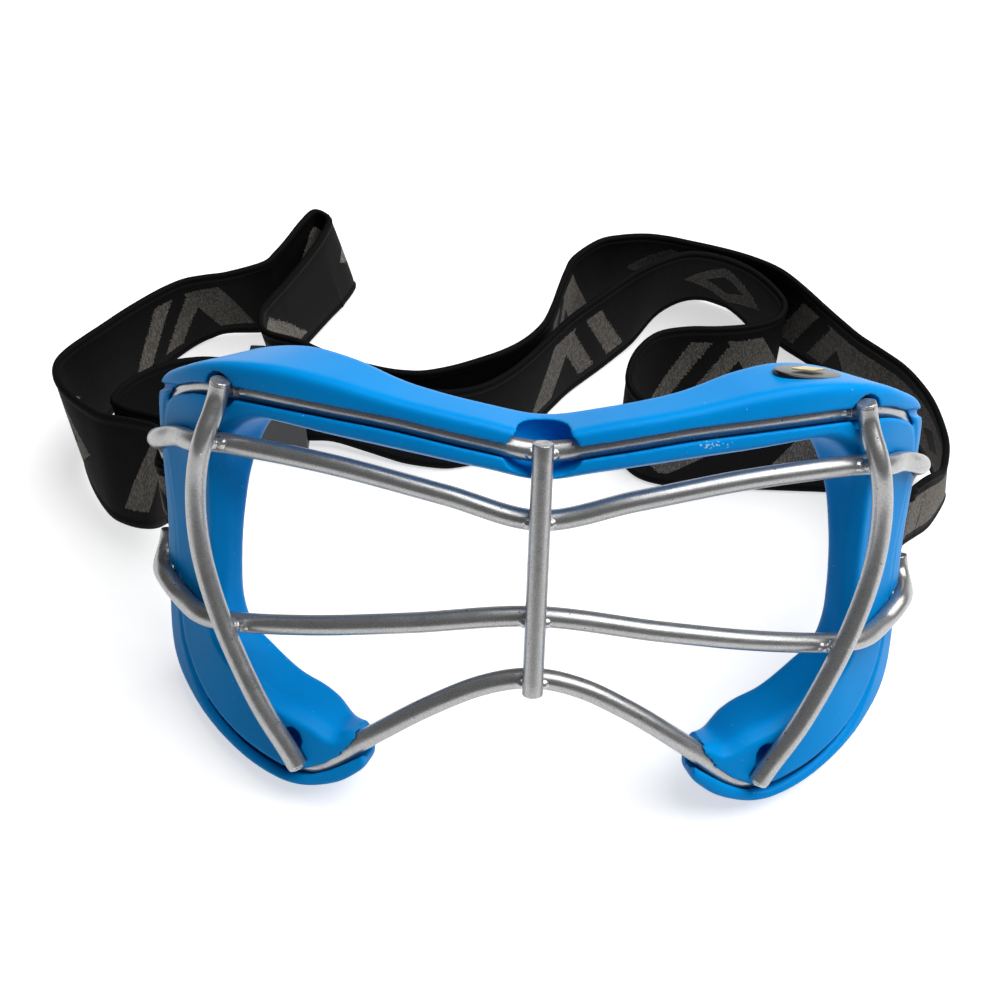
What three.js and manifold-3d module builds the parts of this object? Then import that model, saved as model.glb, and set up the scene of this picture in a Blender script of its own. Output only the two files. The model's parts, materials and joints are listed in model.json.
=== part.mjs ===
// Wire-cage sports goggles: a welded steel cage clipped into a moulded silicone
// face pad, with an elastic webbing strap round a loop of wire at each temple.
// Millimetres, +Z up, front towards -Y. The goggles stand on the lower edge of
// the pad and lean back; the strap stands on its edge on the surface behind.

import * as THREE from "three";
import { mergeVertices } from "three/addons/utils/BufferGeometryUtils.js";
import Module from "manifold-3d";

const wasm = await Module();
wasm.setup();

// Driving dimensions
const wireDiameter = 4.1;
const touchGap = 0.3;
const leanDegrees = 28;

// Cage: plan of the crossbars, and the height that all the wires' shares follow
const cageHalfWidth = 83;
const cageDepth = 40;
const cageHeight = 80;

// Rim: plan of the wire in the pad, two arcs and a straight run at the temple
const rimFrontRadius = 125;
const rimFrontRun = 45;
const rimTempleRadius = 60;
const rimTempleDegrees = 62;
const rimReach = 90;

// Face pad: a channel section round the rim wire
const padDepth = 14;
const lipFront = 3.2;
const lipFrontSide = 1.1;
const padRound = 1.2;
const padChamfer = 2;
const padBackRound = 2.5;
const slotHalf = 1.2;
const slotStep = 0.15;
const lipThickness = 0.6;
const grooveClearance = 0.35;
const padRestCut = 0.5;

// Bites in the pad's lips where bars are welded to the rim
const scallopRadius = 7.2;
const templeScallopRadius = 5.8;
const scallopFloor = 1.2;
const barSlotRadius = 3.3;
const cutOverrun = 12;

// Temple loops: where the post stands, in the goggles' own axes
const postX = 76;
const postY = 47;

// Weld beads: a collar where a bar crosses, a lump where two run side by side
const beadHeight = 0.85;
const beadLength = 2.2;
const postBeadRadius = 1;
const postBeadLength = 4.5;
const postBeadTop = -24;

// Badge on the brow, with a plain lozenge on it
const badgeLength = 15.5;
const badgeWidth = 9.4;
const badgeThickness = 1.2;
const badgePocketDepth = 0.9;
const badgeRun = 55.5;
const badgeBack = 5.4;
const lozengeLength = 8.5;
const lozengeWidth = 3;
const lozengeThickness = 0.4;

// Strap and its slider
const strapWidth = 27;
const strapThickness = 1.5;
const strapSpread = 100;
const strapStep = 6;
const strapPostTop = -8.6;
const strapPostWidth = 14;
const sliderLength = 12;
const sliderWall = 1.7;
const sliderClearance = 0.35;

const wireRadius = wireDiameter / 2;
const layerStep = wireDiameter + touchGap;
const lean = THREE.MathUtils.degToRad(leanDegrees);

const material = (color, roughness, metalness) =>
  new THREE.MeshStandardMaterial({ color, roughness, metalness });
const steel = material(0x8b8e91, 0.38, 0.85);
const weldMetal = material(0x9fa2a4, 0.5, 0.8);
const silicone = material(0x0a84cc, 0.3, 0);
const webbing = material(0x15161a, 0.9, 0);
const blackPlastic = material(0x101114, 0.35, 0);
const paleGold = material(0xd2c28c, 0.4, 0.7);

function part(name, geometry, finish) {
  const mesh = new THREE.Mesh(geometry, finish);
  mesh.name = name;
  return mesh;
}

function bare(geometry) {
  const copy = geometry.clone();
  copy.deleteAttribute("normal");
  copy.deleteAttribute("uv");
  return mergeVertices(copy, touchGap * 1e-4);
}

function solid(geometry) {
  const merged = bare(geometry);
  return new wasm.Manifold(new wasm.Mesh({
    numProp: 3,
    vertProperties: new Float32Array(merged.attributes.position.array),
    triVerts: new Uint32Array(merged.index.array),
  }));
}

function geometryOf(body) {
  const mesh = body.getMesh();
  const geometry = new THREE.BufferGeometry();
  geometry.setAttribute("position", new THREE.BufferAttribute(mesh.vertProperties, 3));
  geometry.setIndex(new THREE.BufferAttribute(mesh.triVerts, 1));
  return geometry;
}

// A skin through rings of equal length, closed on itself or capped at both ends
function loft(rings, capOutline) {
  const count = rings[0].length;
  const positions = rings.flat().flatMap((p) => [p.x, p.y, p.z]);
  const faces = [];
  const spans = capOutline ? rings.length - 1 : rings.length;
  for (let i = 0; i < spans; i += 1) {
    const here = i * count;
    const next = ((i + 1) % rings.length) * count;
    for (let j = 0; j < count; j += 1) {
      const k = (j + 1) % count;
      faces.push(here + j, here + k, next + k, here + j, next + k, next + j);
    }
  }
  if (capOutline) {
    const last = (rings.length - 1) * count;
    const inOrder = THREE.ShapeUtils.area(capOutline) > 0;
    for (const face of THREE.ShapeUtils.triangulateShape(capOutline, [])) {
      const [a, b, c] = inOrder ? face : face.reverse();
      faces.push(c, b, a, last + a, last + b, last + c);
    }
  }
  const geometry = new THREE.BufferGeometry();
  geometry.setAttribute("position", new THREE.Float32BufferAttribute(positions, 3));
  geometry.setIndex(faces);
  return signedVolume(geometry) < 0 ? turned(geometry) : geometry;
}

function signedVolume(geometry) {
  const { index, attributes } = geometry;
  const at = (i) => new THREE.Vector3().fromBufferAttribute(attributes.position, index.getX(i));
  let sum = 0;
  for (let i = 0; i < index.count; i += 3) {
    sum += at(i).dot(at(i + 1).cross(at(i + 2)));
  }
  return sum;
}

function turned(geometry) {
  const index = Array.from(geometry.index.array);
  for (let i = 0; i < index.length; i += 3) {
    [index[i], index[i + 1]] = [index[i + 1], index[i]];
  }
  geometry.setIndex(index);
  return geometry;
}

const smooth = (points) => new THREE.CatmullRomCurve3(points, false, "centripetal");

// A round bar along a smooth curve through its points
function bar(points, radius, steps, sides = 8) {
  const section = new THREE.Shape(Array.from({ length: sides }, (_, i) => {
    const angle = (2 * Math.PI * i) / sides;
    return new THREE.Vector2(Math.cos(angle) * radius, Math.sin(angle) * radius);
  }));
  return new THREE.ExtrudeGeometry(section, { steps, bevelEnabled: false, extrudePath: smooth(points) });
}

const mirror = (p) => new THREE.Vector3(-p.x, p.y, p.z);

// Plan of the crossbars: how far back the cage lies at a distance from the middle
function cageY(x) {
  return layerStep + cageDepth * (1 - Math.sqrt(1 - (x / cageHalfWidth) ** 2));
}

function cageSlope(x) {
  return (cageDepth * x) / cageHalfWidth ** 2 / Math.sqrt(1 - (x / cageHalfWidth) ** 2);
}

// Bars welded on the front of the crossbars lie one wire nearer the front
function frontY(x) {
  return cageY(x) - layerStep * Math.hypot(1, cageSlope(x));
}

// Plan of the rim by its run from the middle: place and outward direction
function rimPlan(run) {
  const s = Math.abs(run);
  const side = Math.sign(run) || 1;
  const knee = rimFrontRun / rimFrontRadius;
  const kneeX = rimFrontRadius * Math.sin(knee);
  const kneeY = layerStep + rimFrontRadius * (1 - Math.cos(knee));
  const last = THREE.MathUtils.degToRad(rimTempleDegrees);
  let angle = s / rimFrontRadius;
  let x = rimFrontRadius * Math.sin(angle);
  let y = layerStep + rimFrontRadius * (1 - Math.cos(angle));
  if (s > rimFrontRun) {
    angle = Math.min(knee + (s - rimFrontRun) / rimTempleRadius, last);
    x = kneeX + rimTempleRadius * (Math.sin(angle) - Math.sin(knee));
    y = kneeY + rimTempleRadius * (Math.cos(knee) - Math.cos(angle));
    const straight = Math.max(0, s - rimFrontRun - (last - knee) * rimTempleRadius);
    x += straight * Math.cos(angle);
    y += straight * Math.sin(angle);
  }
  return { x: side * x, y, outX: side * Math.sin(angle), outY: -Math.cos(angle) };
}

function onRim(run, height, out = 0) {
  const plan = rimPlan(run);
  return new THREE.Vector3(plan.x + plan.outX * out, plan.y + plan.outY * out, height);
}

// The rim wire from the middle of the brow to the cheek, as run and height shares
const rimShares = [
  [0, 0.15], [0.13, 0.172], [0.3, 0.202], [0.45, 0.214], [0.58, 0.217], [0.7, 0.208], [0.82, 0.18],
  [0.915, 0.12], [0.94, 0.02], [0.925, -0.09], [0.91, -0.2], [0.905, -0.31], [0.9, -0.42],
  [0.875, -0.54], [0.8, -0.65], [0.7, -0.718], [0.6, -0.752], [0.53, -0.76], [0.46, -0.73],
  [0.4, -0.69], [0.375, -0.675],
];
// The pad's edges beside each of those places, outer and inner
const padOuterShares = [
  [0, 0.205], [0.135, 0.232], [0.3, 0.263], [0.455, 0.293], [0.59, 0.3], [0.73, 0.276],
  [0.85, 0.23], [0.985, 0.15], [1.01, 0.04], [0.985, -0.08], [0.97, -0.2], [0.97, -0.32],
  [0.974, -0.45], [0.95, -0.6], [0.852, -0.69], [0.705, -0.765], [0.59, -0.805], [0.51, -0.812],
  [0.43, -0.785], [0.38, -0.745], [0.362, -0.722],
];
const padInnerShares = [
  [0, 0.083], [0.125, 0.105], [0.295, 0.13], [0.445, 0.147], [0.56, 0.158], [0.64, 0.145],
  [0.7, 0.09], [0.727, 0.02], [0.732, -0.05], [0.732, -0.13], [0.735, -0.21], [0.742, -0.3],
  [0.752, -0.39], [0.745, -0.465], [0.695, -0.515], [0.61, -0.572], [0.535, -0.6], [0.485, -0.62],
  [0.44, -0.645], [0.405, -0.637], [0.385, -0.63],
];
// The pad's depth behind the rim and how far its lips stand in front, by station
const padDepthShares = [
  0.6, 0.58, 0.68, 0.92, 1, 0.95, 0.8, 0.7, 0.6, 0.55, 0.5, 0.5, 0.55, 0.62, 0.72, 0.8, 0.85,
  0.8, 0.65, 0.45, 0.36,
];
const lipShares = [
  1, 1, 1, 1, 1, 1, 0.9, 0.7, 0.4, 0.2, 0, 0, 0, 0.2, 0.5, 0.8, 1, 0.9, 0.8, 0.6, 0.4,
];
// The notch below a bite: how wide it stays and how deep it goes, by the bite's radius
const notchFootShare = 0.42;
const notchDropShare = 0.72;

// Values between the stations of a table, smooth through each of them
function between(table, place) {
  const i = Math.min(Math.floor(place), table.length - 2);
  const at = (k) => table[Math.min(Math.abs(k), table.length - 1)];
  const u = place - i;
  const blend = (p0, p1, p2, p3) =>
    p1 + (u / 2) * (p2 - p0 + u * (2 * p0 - 5 * p1 + 4 * p2 - p3 + u * (3 * (p1 - p2) + p3 - p0)));
  const parts = [at(i - 1), at(i), at(i + 1), at(i + 2)];
  if (!Array.isArray(parts[0])) return blend(...parts);
  return parts[0].map((_, k) => {
    const flip = k === 0 && i === 0 ? -1 : 1;
    return blend(parts[0][k] * flip, parts[1][k], parts[2][k], parts[3][k]);
  });
}

const lastStation = rimShares.length - 1;
const stationPlaces = (perStation) => {
  const count = lastStation * perStation;
  return Array.from({ length: 2 * count + 1 }, (_, i) => (i - count) / perStation);
};

function along(table, place) {
  const [run, height] = between(table, Math.abs(place));
  return { run: Math.sign(place) * run * rimReach, height: height * cageHeight };
}

const rimWireEnd = 17;
// The share of a station on each side from which the wire's direction is taken
const besideShare = 0.1;
const rimPoints = stationPlaces(3).filter((place) => Math.abs(place) <= rimWireEnd).map((place) => {
  const { run, height } = along(rimShares, place);
  return onRim(run, height);
});

// Upper and lower crossbars from the middle outwards, as x and height shares
const upperCrossShares = [
  [0, -0.024], [0.217, 0.028], [0.458, 0.073], [0.645, 0.085], [0.76, 0.08], [0.82, 0.066],
];
const lowerCrossShares = [[0, -0.275], [0.295, -0.315], [0.536, -0.358], [0.735, -0.395], [0.81, -0.402]];
// Their ends run on past the side bars as the arms of the temple loops: the upper arm turns
// down as the post, the lower one turns up beside it. Shares of the post's x and y, and of
// the cage's height
const upperArmShares = [
  [0.954, 0.596, 0.048], [1.013, 0.7, 0.02], [1.033, 0.817, -0.01], [1.032, 0.915, -0.035],
  [1.022, 0.974, -0.07],
];
// The straight post at the end of the upper arm
const postShares = [
  [1.016, 0.989, -0.106], [0.999, 0.996, -0.2125], [0.9855, 1, -0.3], [0.971, 1.004, -0.394],
];
const lowerArmShares = [
  [0.96, 0.606, -0.396], [1.009, 0.702, -0.368], [1.029, 0.787, -0.364], [1.032, 0.862, -0.355],
  [1.026, 0.913, -0.328], [1.02, 0.928, -0.291],
];

const crossPoint = ([x, height]) =>
  new THREE.Vector3(x * cageHalfWidth, cageY(x * cageHalfWidth), height * cageHeight);
const armPoint = ([x, y, height]) => new THREE.Vector3(x * postX, y * postY, height * cageHeight);

function crossWire(crossShares, armShares) {
  const half = [...crossShares.slice(1).map(crossPoint), ...armShares.map(armPoint)];
  return [...half.map(mirror).reverse(), crossPoint(crossShares[0]), ...half];
}

const upperCrossPoints = crossWire(upperCrossShares, [...upperArmShares, ...postShares]);
const lowerCrossPoints = crossWire(lowerCrossShares, lowerArmShares);

// The post's axis at a height
function postAt(height) {
  const [from, to] = [postShares[0], postShares.at(-1)].map(armPoint);
  return from.lerp(to, (from.z - height) / (from.z - to.z));
}

// Side bars: x and height shares, and how far the ends turn back to reach the rim
const sideBarShares = [
  [0.743, 0.245, 1], [0.75, 0.21, 1], [0.762, 0.165, 0.6], [0.784, 0.1, 0], [0.803, 0, 0],
  [0.806, -0.1, 0], [0.795, -0.2, 0], [0.767, -0.31, 0], [0.727, -0.42, 0], [0.65, -0.585, 0.1],
  [0.585, -0.7, 0.7], [0.563, -0.745, 1],
];

// The rim's run from the middle at a distance to the side, by halving
function runAt(x) {
  let low = 0;
  let high = rimReach;
  for (let i = 0; i < 40; i += 1) {
    const middle = (low + high) / 2;
    if (rimPlan(middle).x < x) low = middle;
    else high = middle;
  }
  return low;
}

// How far back a bar's end lies where it is welded on the front of the rim
function rimFrontY(x) {
  const plan = rimPlan(runAt(x));
  return plan.y + layerStep / plan.outY;
}

function sidePoint([xShare, height, back]) {
  const x = xShare * cageHalfWidth;
  const y = THREE.MathUtils.lerp(frontY(x), rimFrontY(x), back);
  return new THREE.Vector3(x, y, height * cageHeight);
}

const sideBarPoints = sideBarShares.map(sidePoint);

// Nose wire: from one cheek over the bridge to the other, butted to the rim's ends
const noseShares = [[0, -0.442], [0.11, -0.465], [0.24, -0.535], [0.38, -0.637]];
const rimEnd = rimPoints.at(-1);
const rimEndDirection = rimEnd.clone().sub(rimPoints.at(-2)).normalize();
const beyondRim = (distance) => rimEnd.clone().addScaledVector(rimEndDirection, distance);
const noseHalf = [...noseShares.slice(1).map(crossPoint), beyondRim(wireDiameter), beyondRim(touchGap)];
const nosePoints = [...noseHalf.map(mirror).reverse(), crossPoint(noseShares[0]), ...noseHalf];

const centreTopShare = 0.19;
const centreBottomShare = -0.458;
const centreBarPoints = [
  new THREE.Vector3(0, 0, centreTopShare * cageHeight),
  new THREE.Vector3(0, 0, centreBottomShare * cageHeight),
];

// The direction across the wire within the rim's surface, towards the pad's outer edge
function acrossWire(place, wire, outer) {
  const ahead = along(rimShares, THREE.MathUtils.clamp(place + besideShare, -lastStation, lastStation));
  const behind = along(rimShares, THREE.MathUtils.clamp(place - besideShare, -lastStation, lastStation));
  const across = new THREE.Vector2(behind.height - ahead.height, ahead.run - behind.run).normalize();
  const outward = new THREE.Vector2(outer.run - wire.run, outer.height - wire.height);
  return across.dot(outward) < 0 ? across.negate() : across;
}

// One ring of the pad: a channel for the rim wire with an outer and an inner lip
function padRing(place) {
  const outer = along(padOuterShares, place);
  const wire = along(rimShares, place);
  const inner = along(padInnerShares, place);
  const depth = between(padDepthShares, Math.abs(place)) * padDepth;
  const lip = THREE.MathUtils.lerp(lipFrontSide, lipFront, between(lipShares, Math.abs(place)));
  const groove = wireRadius + grooveClearance;
  const lipInside = Math.min(groove, lip - lipThickness);
  const slot = lip > groove ? slotHalf : groove - slotStep;
  const toOuter = Math.hypot(outer.run - wire.run, outer.height - wire.height);
  const toInner = Math.hypot(inner.run - wire.run, inner.height - wire.height);
  const chamfer = Math.min(padChamfer, (toInner - groove) / 2);
  const across = acrossWire(place, wire, outer);
  const beside = (reach, out) =>
    onRim(wire.run - across.x * reach, wire.height - across.y * reach, out);
  const at = (reach, out) => {
    const edge = reach < 0 ? outer : inner;
    const share = reach < 0 ? -reach / toOuter : reach / toInner;
    return onRim(
      THREE.MathUtils.lerp(wire.run, edge.run, share),
      THREE.MathUtils.lerp(wire.height, edge.height, share),
      out,
    );
  };
  return [
    at(-toOuter, lip - padRound),
    at(-toOuter + padRound, lip),
    beside(-slot, lip),
    beside(-slot, lipInside),
    beside(-groove, lipInside),
    beside(-groove, -groove),
    beside(groove, -groove),
    beside(groove, lipInside),
    beside(slot, lipInside),
    beside(slot, lip),
    at(toInner - chamfer, lip),
    at(toInner, lip - chamfer),
    at(toInner, -depth + padBackRound),
    at(toInner - padBackRound, -depth),
    at(-toOuter + padBackRound, -depth),
    at(-toOuter, -depth + padBackRound),
  ];
}

// The ring's outline laid flat, for closing the pad's ends
function flatRing(ring) {
  const origin = ring[5];
  const across = ring[6].clone().sub(origin).normalize();
  const out = ring[4].clone().sub(origin).normalize();
  return ring.map((p) => {
    const q = p.clone().sub(origin);
    return new THREE.Vector2(q.dot(across), q.dot(out));
  });
}

// A bite in the lips where a bar is welded to the rim: round above, a notch below
function lipBite(run, height, radius) {
  const outline = new THREE.Shape();
  outline.absarc(0, 0, radius, 0, Math.PI, false);
  outline.lineTo(-radius * notchFootShare, -radius * notchDropShare);
  outline.lineTo(radius * notchFootShare, -radius * notchDropShare);
  const bite = new THREE.ExtrudeGeometry(outline, {
    depth: cutOverrun, bevelEnabled: false, curveSegments: 10,
  });
  const plan = rimPlan(run);
  const facing = new THREE.Vector3(plan.outX, plan.outY, 0);
  const sideways = new THREE.Vector3(0, 0, 1).cross(facing);
  const frame = new THREE.Matrix4().makeBasis(sideways, new THREE.Vector3(0, 0, 1), facing);
  frame.setPosition(onRim(run, height, -scallopFloor));
  bite.applyMatrix4(frame);
  return solid(bite);
}

const crossingSamples = 160;
const beadToeShare = 0.35;
const collarRadius = wireRadius + touchGap + beadHeight;

// Where a front bar and a rear one pass closest on one side of the middle
function crossing(frontPoints, rearPoints, side) {
  const front = smooth(frontPoints);
  const rear = smooth(rearPoints);
  let best = null;
  for (let i = 0; i <= crossingSamples; i += 1) {
    const place = front.getPoint(i / crossingSamples);
    for (let k = 0; k <= crossingSamples; k += 1) {
      const u = k / crossingSamples;
      const point = rear.getPoint(u);
      const gap = point.distanceTo(place);
      if (point.x * side < 0 || (best && gap >= best.gap)) continue;
      best = { gap, u, point, rear, ahead: front.getTangent(i / crossingSamples) };
    }
  }
  return best;
}

// A collar of weld metal round the rear bar, close beside the bar in front of it
function collarPlace({ u, point, rear, ahead }, direction) {
  const cosine = Math.abs(ahead.dot(rear.getTangent(u)));
  const clear = (wireRadius + touchGap + collarRadius * cosine) / Math.sqrt(1 - cosine ** 2);
  const sign = direction * Math.sign(rear.getTangent(u).x);
  const step = sign / crossingSamples / crossingSamples;
  let there = u;
  while (rear.getPoint(there).distanceTo(point) < clear + beadLength / 2) there += step;
  return { centre: rear.getPoint(there), tangent: rear.getTangent(there).multiplyScalar(sign) };
}

function collar({ centre, tangent }) {
  const inner = wireRadius + touchGap;
  const ring = new THREE.LatheGeometry([
    new THREE.Vector2(inner, -beadLength / 2),
    new THREE.Vector2(collarRadius, -beadLength / 2),
    new THREE.Vector2(inner + beadHeight * beadToeShare, beadLength / 2),
    new THREE.Vector2(inner, beadLength / 2),
    new THREE.Vector2(inner, -beadLength / 2),
  ], 10);
  const turn = new THREE.Quaternion().setFromUnitVectors(new THREE.Vector3(0, 1, 0), tangent);
  return ring.applyQuaternion(turn).translate(...centre.toArray());
}

const centreCrossings = [
  ["brow", rimPoints], ["upper", upperCrossPoints], ["lower", lowerCrossPoints], ["nose", nosePoints],
];
const sideCrossings = [
  ["top", rimPoints, [-1]], ["upper", upperCrossPoints, [-1, 1]],
  ["lower", lowerCrossPoints, [-1, 1]], ["foot", rimPoints, [1]],
];
const sideName = (side) => (side < 0 ? "left" : "right");

// Every collar: its name and its place
function beadPlaces() {
  const places = [];
  for (const [level, rear] of centreCrossings) {
    const found = crossing(centreBarPoints, rear, 0);
    for (const side of [-1, 1]) {
      places.push({ name: `weld_centre_${level}_${sideName(side)}`, ...collarPlace(found, side) });
    }
  }
  for (const side of [-1, 1]) {
    const front = side < 0 ? sideBarPoints.map(mirror) : sideBarPoints;
    for (const [level, rear, directions] of sideCrossings) {
      const half = level === "foot" ? front.slice(-3) : front.slice(0, level === "top" ? 3 : front.length);
      const found = crossing(half, rear, side);
      for (const direction of directions) {
        const where = direction < 0 ? "inner" : "outer";
        places.push({
          name: `weld_${sideName(side)}_${level}_${where}`, ...collarPlace(found, side * direction),
        });
      }
    }
  }
  return places;
}

const beads = beadPlaces();
// The pad makes room for those on the rim and the brow
const padBeadNames = /brow|top|foot|upper/;

// A lump of weld metal in the hollow between the post and the lower arm's end
function postBead(side) {
  const height = postBeadTop - postBeadLength / 2;
  const post = postAt(height);
  const arm = armPoint(lowerArmShares.at(-1)).setZ(height);
  const across = arm.clone().sub(post);
  const half = across.length() / 2;
  const hollow = Math.sqrt((wireRadius + touchGap + postBeadRadius) ** 2 - half ** 2);
  const aside = new THREE.Vector3(across.y, -across.x, 0).setLength(hollow);
  const centre = post.addScaledVector(across, 0.5).add(aside);
  const lump = new THREE.CapsuleGeometry(postBeadRadius, postBeadLength - 2 * postBeadRadius, 3, 8);
  lump.rotateX(Math.PI / 2);
  return lump.translate(side * centre.x, centre.y, centre.z);
}

// Room in the pad round a collar on the rim wire
function beadSlot({ centre, tangent }) {
  const radius = collarRadius + touchGap;
  const slot = new THREE.CylinderGeometry(radius, radius, beadLength + 2 * touchGap, 10);
  const turn = new THREE.Quaternion().setFromUnitVectors(new THREE.Vector3(0, 1, 0), tangent);
  return solid(slot.applyQuaternion(turn).translate(...centre.toArray()));
}

// The badge's place on the top of the right brow: its middle, along, back and up
function badgeFrame() {
  const place = badgeRun / rimReach;
  let station = 0;
  while (padOuterShares[station + 1][0] < place) station += 1;
  const from = padOuterShares[station];
  const to = padOuterShares[station + 1];
  const u = (place - from[0]) / (to[0] - from[0]);
  const height = THREE.MathUtils.lerp(from[1], to[1], u) * cageHeight;
  const plan = rimPlan(badgeRun);
  const back = new THREE.Vector3(-plan.outX, -plan.outY, 0);
  const rise = ((to[1] - from[1]) * cageHeight) / ((to[0] - from[0]) * rimReach);
  const sideways = new THREE.Vector3(-plan.outY, plan.outX, rise).normalize();
  const up = sideways.clone().cross(back).normalize();
  const frame = new THREE.Matrix4().makeBasis(sideways, back, up);
  frame.setPosition(onRim(badgeRun, height, -badgeBack));
  return frame;
}

// A flat oval or lozenge standing on the badge's place, from one height to another
function onBadge(outline, low, high) {
  const plate = new THREE.ExtrudeGeometry(outline, {
    depth: high - low, bevelEnabled: false, curveSegments: 14,
  });
  return plate.translate(0, 0, low).applyMatrix4(badgeFrame());
}

function oval(length, width) {
  const outline = new THREE.Shape();
  outline.absellipse(0, 0, length / 2, width / 2, 0, 2 * Math.PI, false, 0);
  return outline;
}

function lozenge(length, width) {
  const outline = new THREE.Shape();
  outline.moveTo(length / 2, 0);
  outline.lineTo(0, width / 2);
  outline.lineTo(-length / 2, 0);
  outline.lineTo(0, -width / 2);
  return outline;
}

const badgeTop = badgeThickness - badgePocketDepth;
const lozengeSeat = badgeTop + touchGap;

function padBody() {
  const rings = stationPlaces(3).map(padRing);
  let body = solid(loft(rings, flatRing(rings[0])));
  const tools = [lipBite(0, rimShares[0][1] * cageHeight, scallopRadius)];
  for (const side of [-1, 1]) {
    const own = side < 0 ? sideBarPoints.map(mirror) : sideBarPoints;
    const top = crossing(own.slice(0, 3), rimPoints, side).point;
    tools.push(lipBite(side * runAt(Math.abs(top.x)), top.z, templeScallopRadius));
    tools.push(solid(bar(own, wireRadius + grooveClearance, 24, 10)));
    tools.push(solid(bar(own.slice(-3), barSlotRadius, 4, 10)));
  }
  for (const [points, steps] of [[nosePoints, 30], [upperCrossPoints, 76], [lowerCrossPoints, 70]]) {
    tools.push(solid(bar(points, wireRadius + grooveClearance, steps)));
  }
  tools.push(...beads.filter((bead) => padBeadNames.test(bead.name)).map(beadSlot));
  const pocket = oval(badgeLength + 2 * touchGap, badgeWidth + 2 * touchGap);
  tools.push(solid(onBadge(pocket, -badgePocketDepth - touchGap, cutOverrun)));
  for (const tool of tools) body = body.subtract(tool);
  return body;
}

// Height above the rest plane of a place in the goggles' own axes, less the rest height
const leanHeight = (p) => p.z * Math.cos(lean) - p.y * Math.sin(lean);

// The pad's lowest edges are cut flat where the goggles stand on them
function seatedPad(body) {
  const positions = geometryOf(body).attributes.position;
  let lowest = Infinity;
  for (let i = 0; i < positions.count; i += 1) {
    lowest = Math.min(lowest, leanHeight(new THREE.Vector3().fromBufferAttribute(positions, i)));
  }
  const floor = lowest + padRestCut;
  const size = 4 * cageHalfWidth;
  const ground = new THREE.BoxGeometry(size, size, size).translate(0, 0, floor - size / 2);
  ground.rotateX(lean);
  return { geometry: geometryOf(body.subtract(solid(ground))), restHeight: -floor };
}

const pad = seatedPad(padBody());

const goggles = new THREE.Group();
goggles.rotation.x = -lean;
goggles.position.z = pad.restHeight;

const wires = [
  ["rim_wire", rimPoints, 78],
  ["nose_wire", nosePoints, 28],
  ["centre_bar", centreBarPoints, 4],
  ["upper_crossbar", upperCrossPoints, 76],
  ["lower_crossbar", lowerCrossPoints, 70],
  ["side_bar_left", sideBarPoints.map(mirror), 24],
  ["side_bar_right", sideBarPoints, 24],
];
for (const [name, points, steps] of wires) {
  goggles.add(part(name, bare(bar(points, wireRadius, steps)), steel));
}
for (const bead of beads) {
  goggles.add(part(bead.name, bare(collar(bead)), weldMetal));
}
for (const side of [-1, 1]) {
  goggles.add(part(`weld_${sideName(side)}_post`, bare(postBead(side)), weldMetal));
}
goggles.add(part("face_pad", pad.geometry, silicone));
goggles.add(part(
  "badge_plate",
  bare(onBadge(oval(badgeLength, badgeWidth), -badgePocketDepth, badgeTop)),
  blackPlastic,
));
goggles.add(part(
  "badge_lozenge",
  bare(onBadge(lozenge(lozengeLength, lozengeWidth), lozengeSeat, lozengeSeat + lozengeThickness)),
  paleGold,
));

// The strap's two runs from the left post to the right one, resting on the floor behind the
// goggles: the band's upper edge, then its lower edge, as x and y by the strap's spread and
// height by its width
const outerRunShares = [
  [-0.82, 0.48, 1.358, -0.84, 0.38, 0.506], [-0.959, 0.548, 1.238, -0.943, 0.448, 0.273],
  [-1.073, 0.649, 1.179, -1.023, 0.579, 0.182], [-1.097, 0.732, 1.131, -1.057, 0.712, 0.111],
  [-1.016, 0.866, 1.056, -1.008, 0.87, 0.056], [-0.928, 0.975, 1.022, -0.934, 0.988, 0.026],
  [-0.849, 1.039, 1.019, -0.86, 1.082, 0.022], [-0.75, 1.064, 1.037, -0.781, 1.127, 0.037],
  [-0.667, 1.103, 1.037, -0.692, 1.136, 0.037], [-0.617, 1.192, 1.037, -0.613, 1.186, 0.037],
  [-0.563, 1.305, 1.022, -0.534, 1.294, 0.022], [-0.528, 1.281, 1.015, -0.475, 1.314, 0.019],
  [-0.568, 1.152, 1.015, -0.499, 1.235, 0.019], [-0.622, 1.034, 1.011, -0.564, 1.127, 0.019],
  [-0.662, 0.941, 1.011, -0.603, 1.028, 0.019], [-0.642, 0.881, 1.011, -0.613, 0.929, 0.015],
  [-0.563, 0.852, 1.011, -0.554, 0.87, 0.015], [-0.474, 0.807, 1.011, -0.475, 0.811, 0.015],
  [-0.356, 0.768, 1.011, -0.356, 0.771, 0.015], [-0.257, 0.763, 1.011, -0.258, 0.766, 0.015],
  [-0.129, 0.812, 1.011, -0.129, 0.816, 0.015], [-0.041, 0.867, 1.011, -0.04, 0.87, 0.015],
  [0.019, 0.945, 1.011, 0.019, 0.949, 0.015], [0.053, 1.064, 1.011, 0.053, 1.067, 0.015],
  [0.088, 1.172, 1.011, 0.088, 1.176, 0.015], [0.147, 1.231, 1.011, 0.142, 1.255, 0.015],
  [0.265, 1.261, 1.011, 0.246, 1.339, 0.015], [0.374, 1.241, 1.011, 0.374, 1.334, 0.015],
  [0.521, 1.192, 1.011, 0.532, 1.265, 0.015], [0.6, 1.138, 1.011, 0.631, 1.151, 0.015],
  [0.679, 1.034, 1.011, 0.72, 1.067, 0.015], [0.758, 0.926, 1.022, 0.789, 0.959, 0.026],
  [0.847, 0.827, 1.052, 0.877, 0.87, 0.059], [0.896, 0.7, 1.107, 0.937, 0.761, 0.148],
  [0.906, 0.554, 1.165, 0.951, 0.634, 0.264], [0.884, 0.468, 1.238, 0.94, 0.569, 0.398],
  [0.84, 0.41, 1.376, 0.88, 0.45, 0.58],
];
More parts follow.
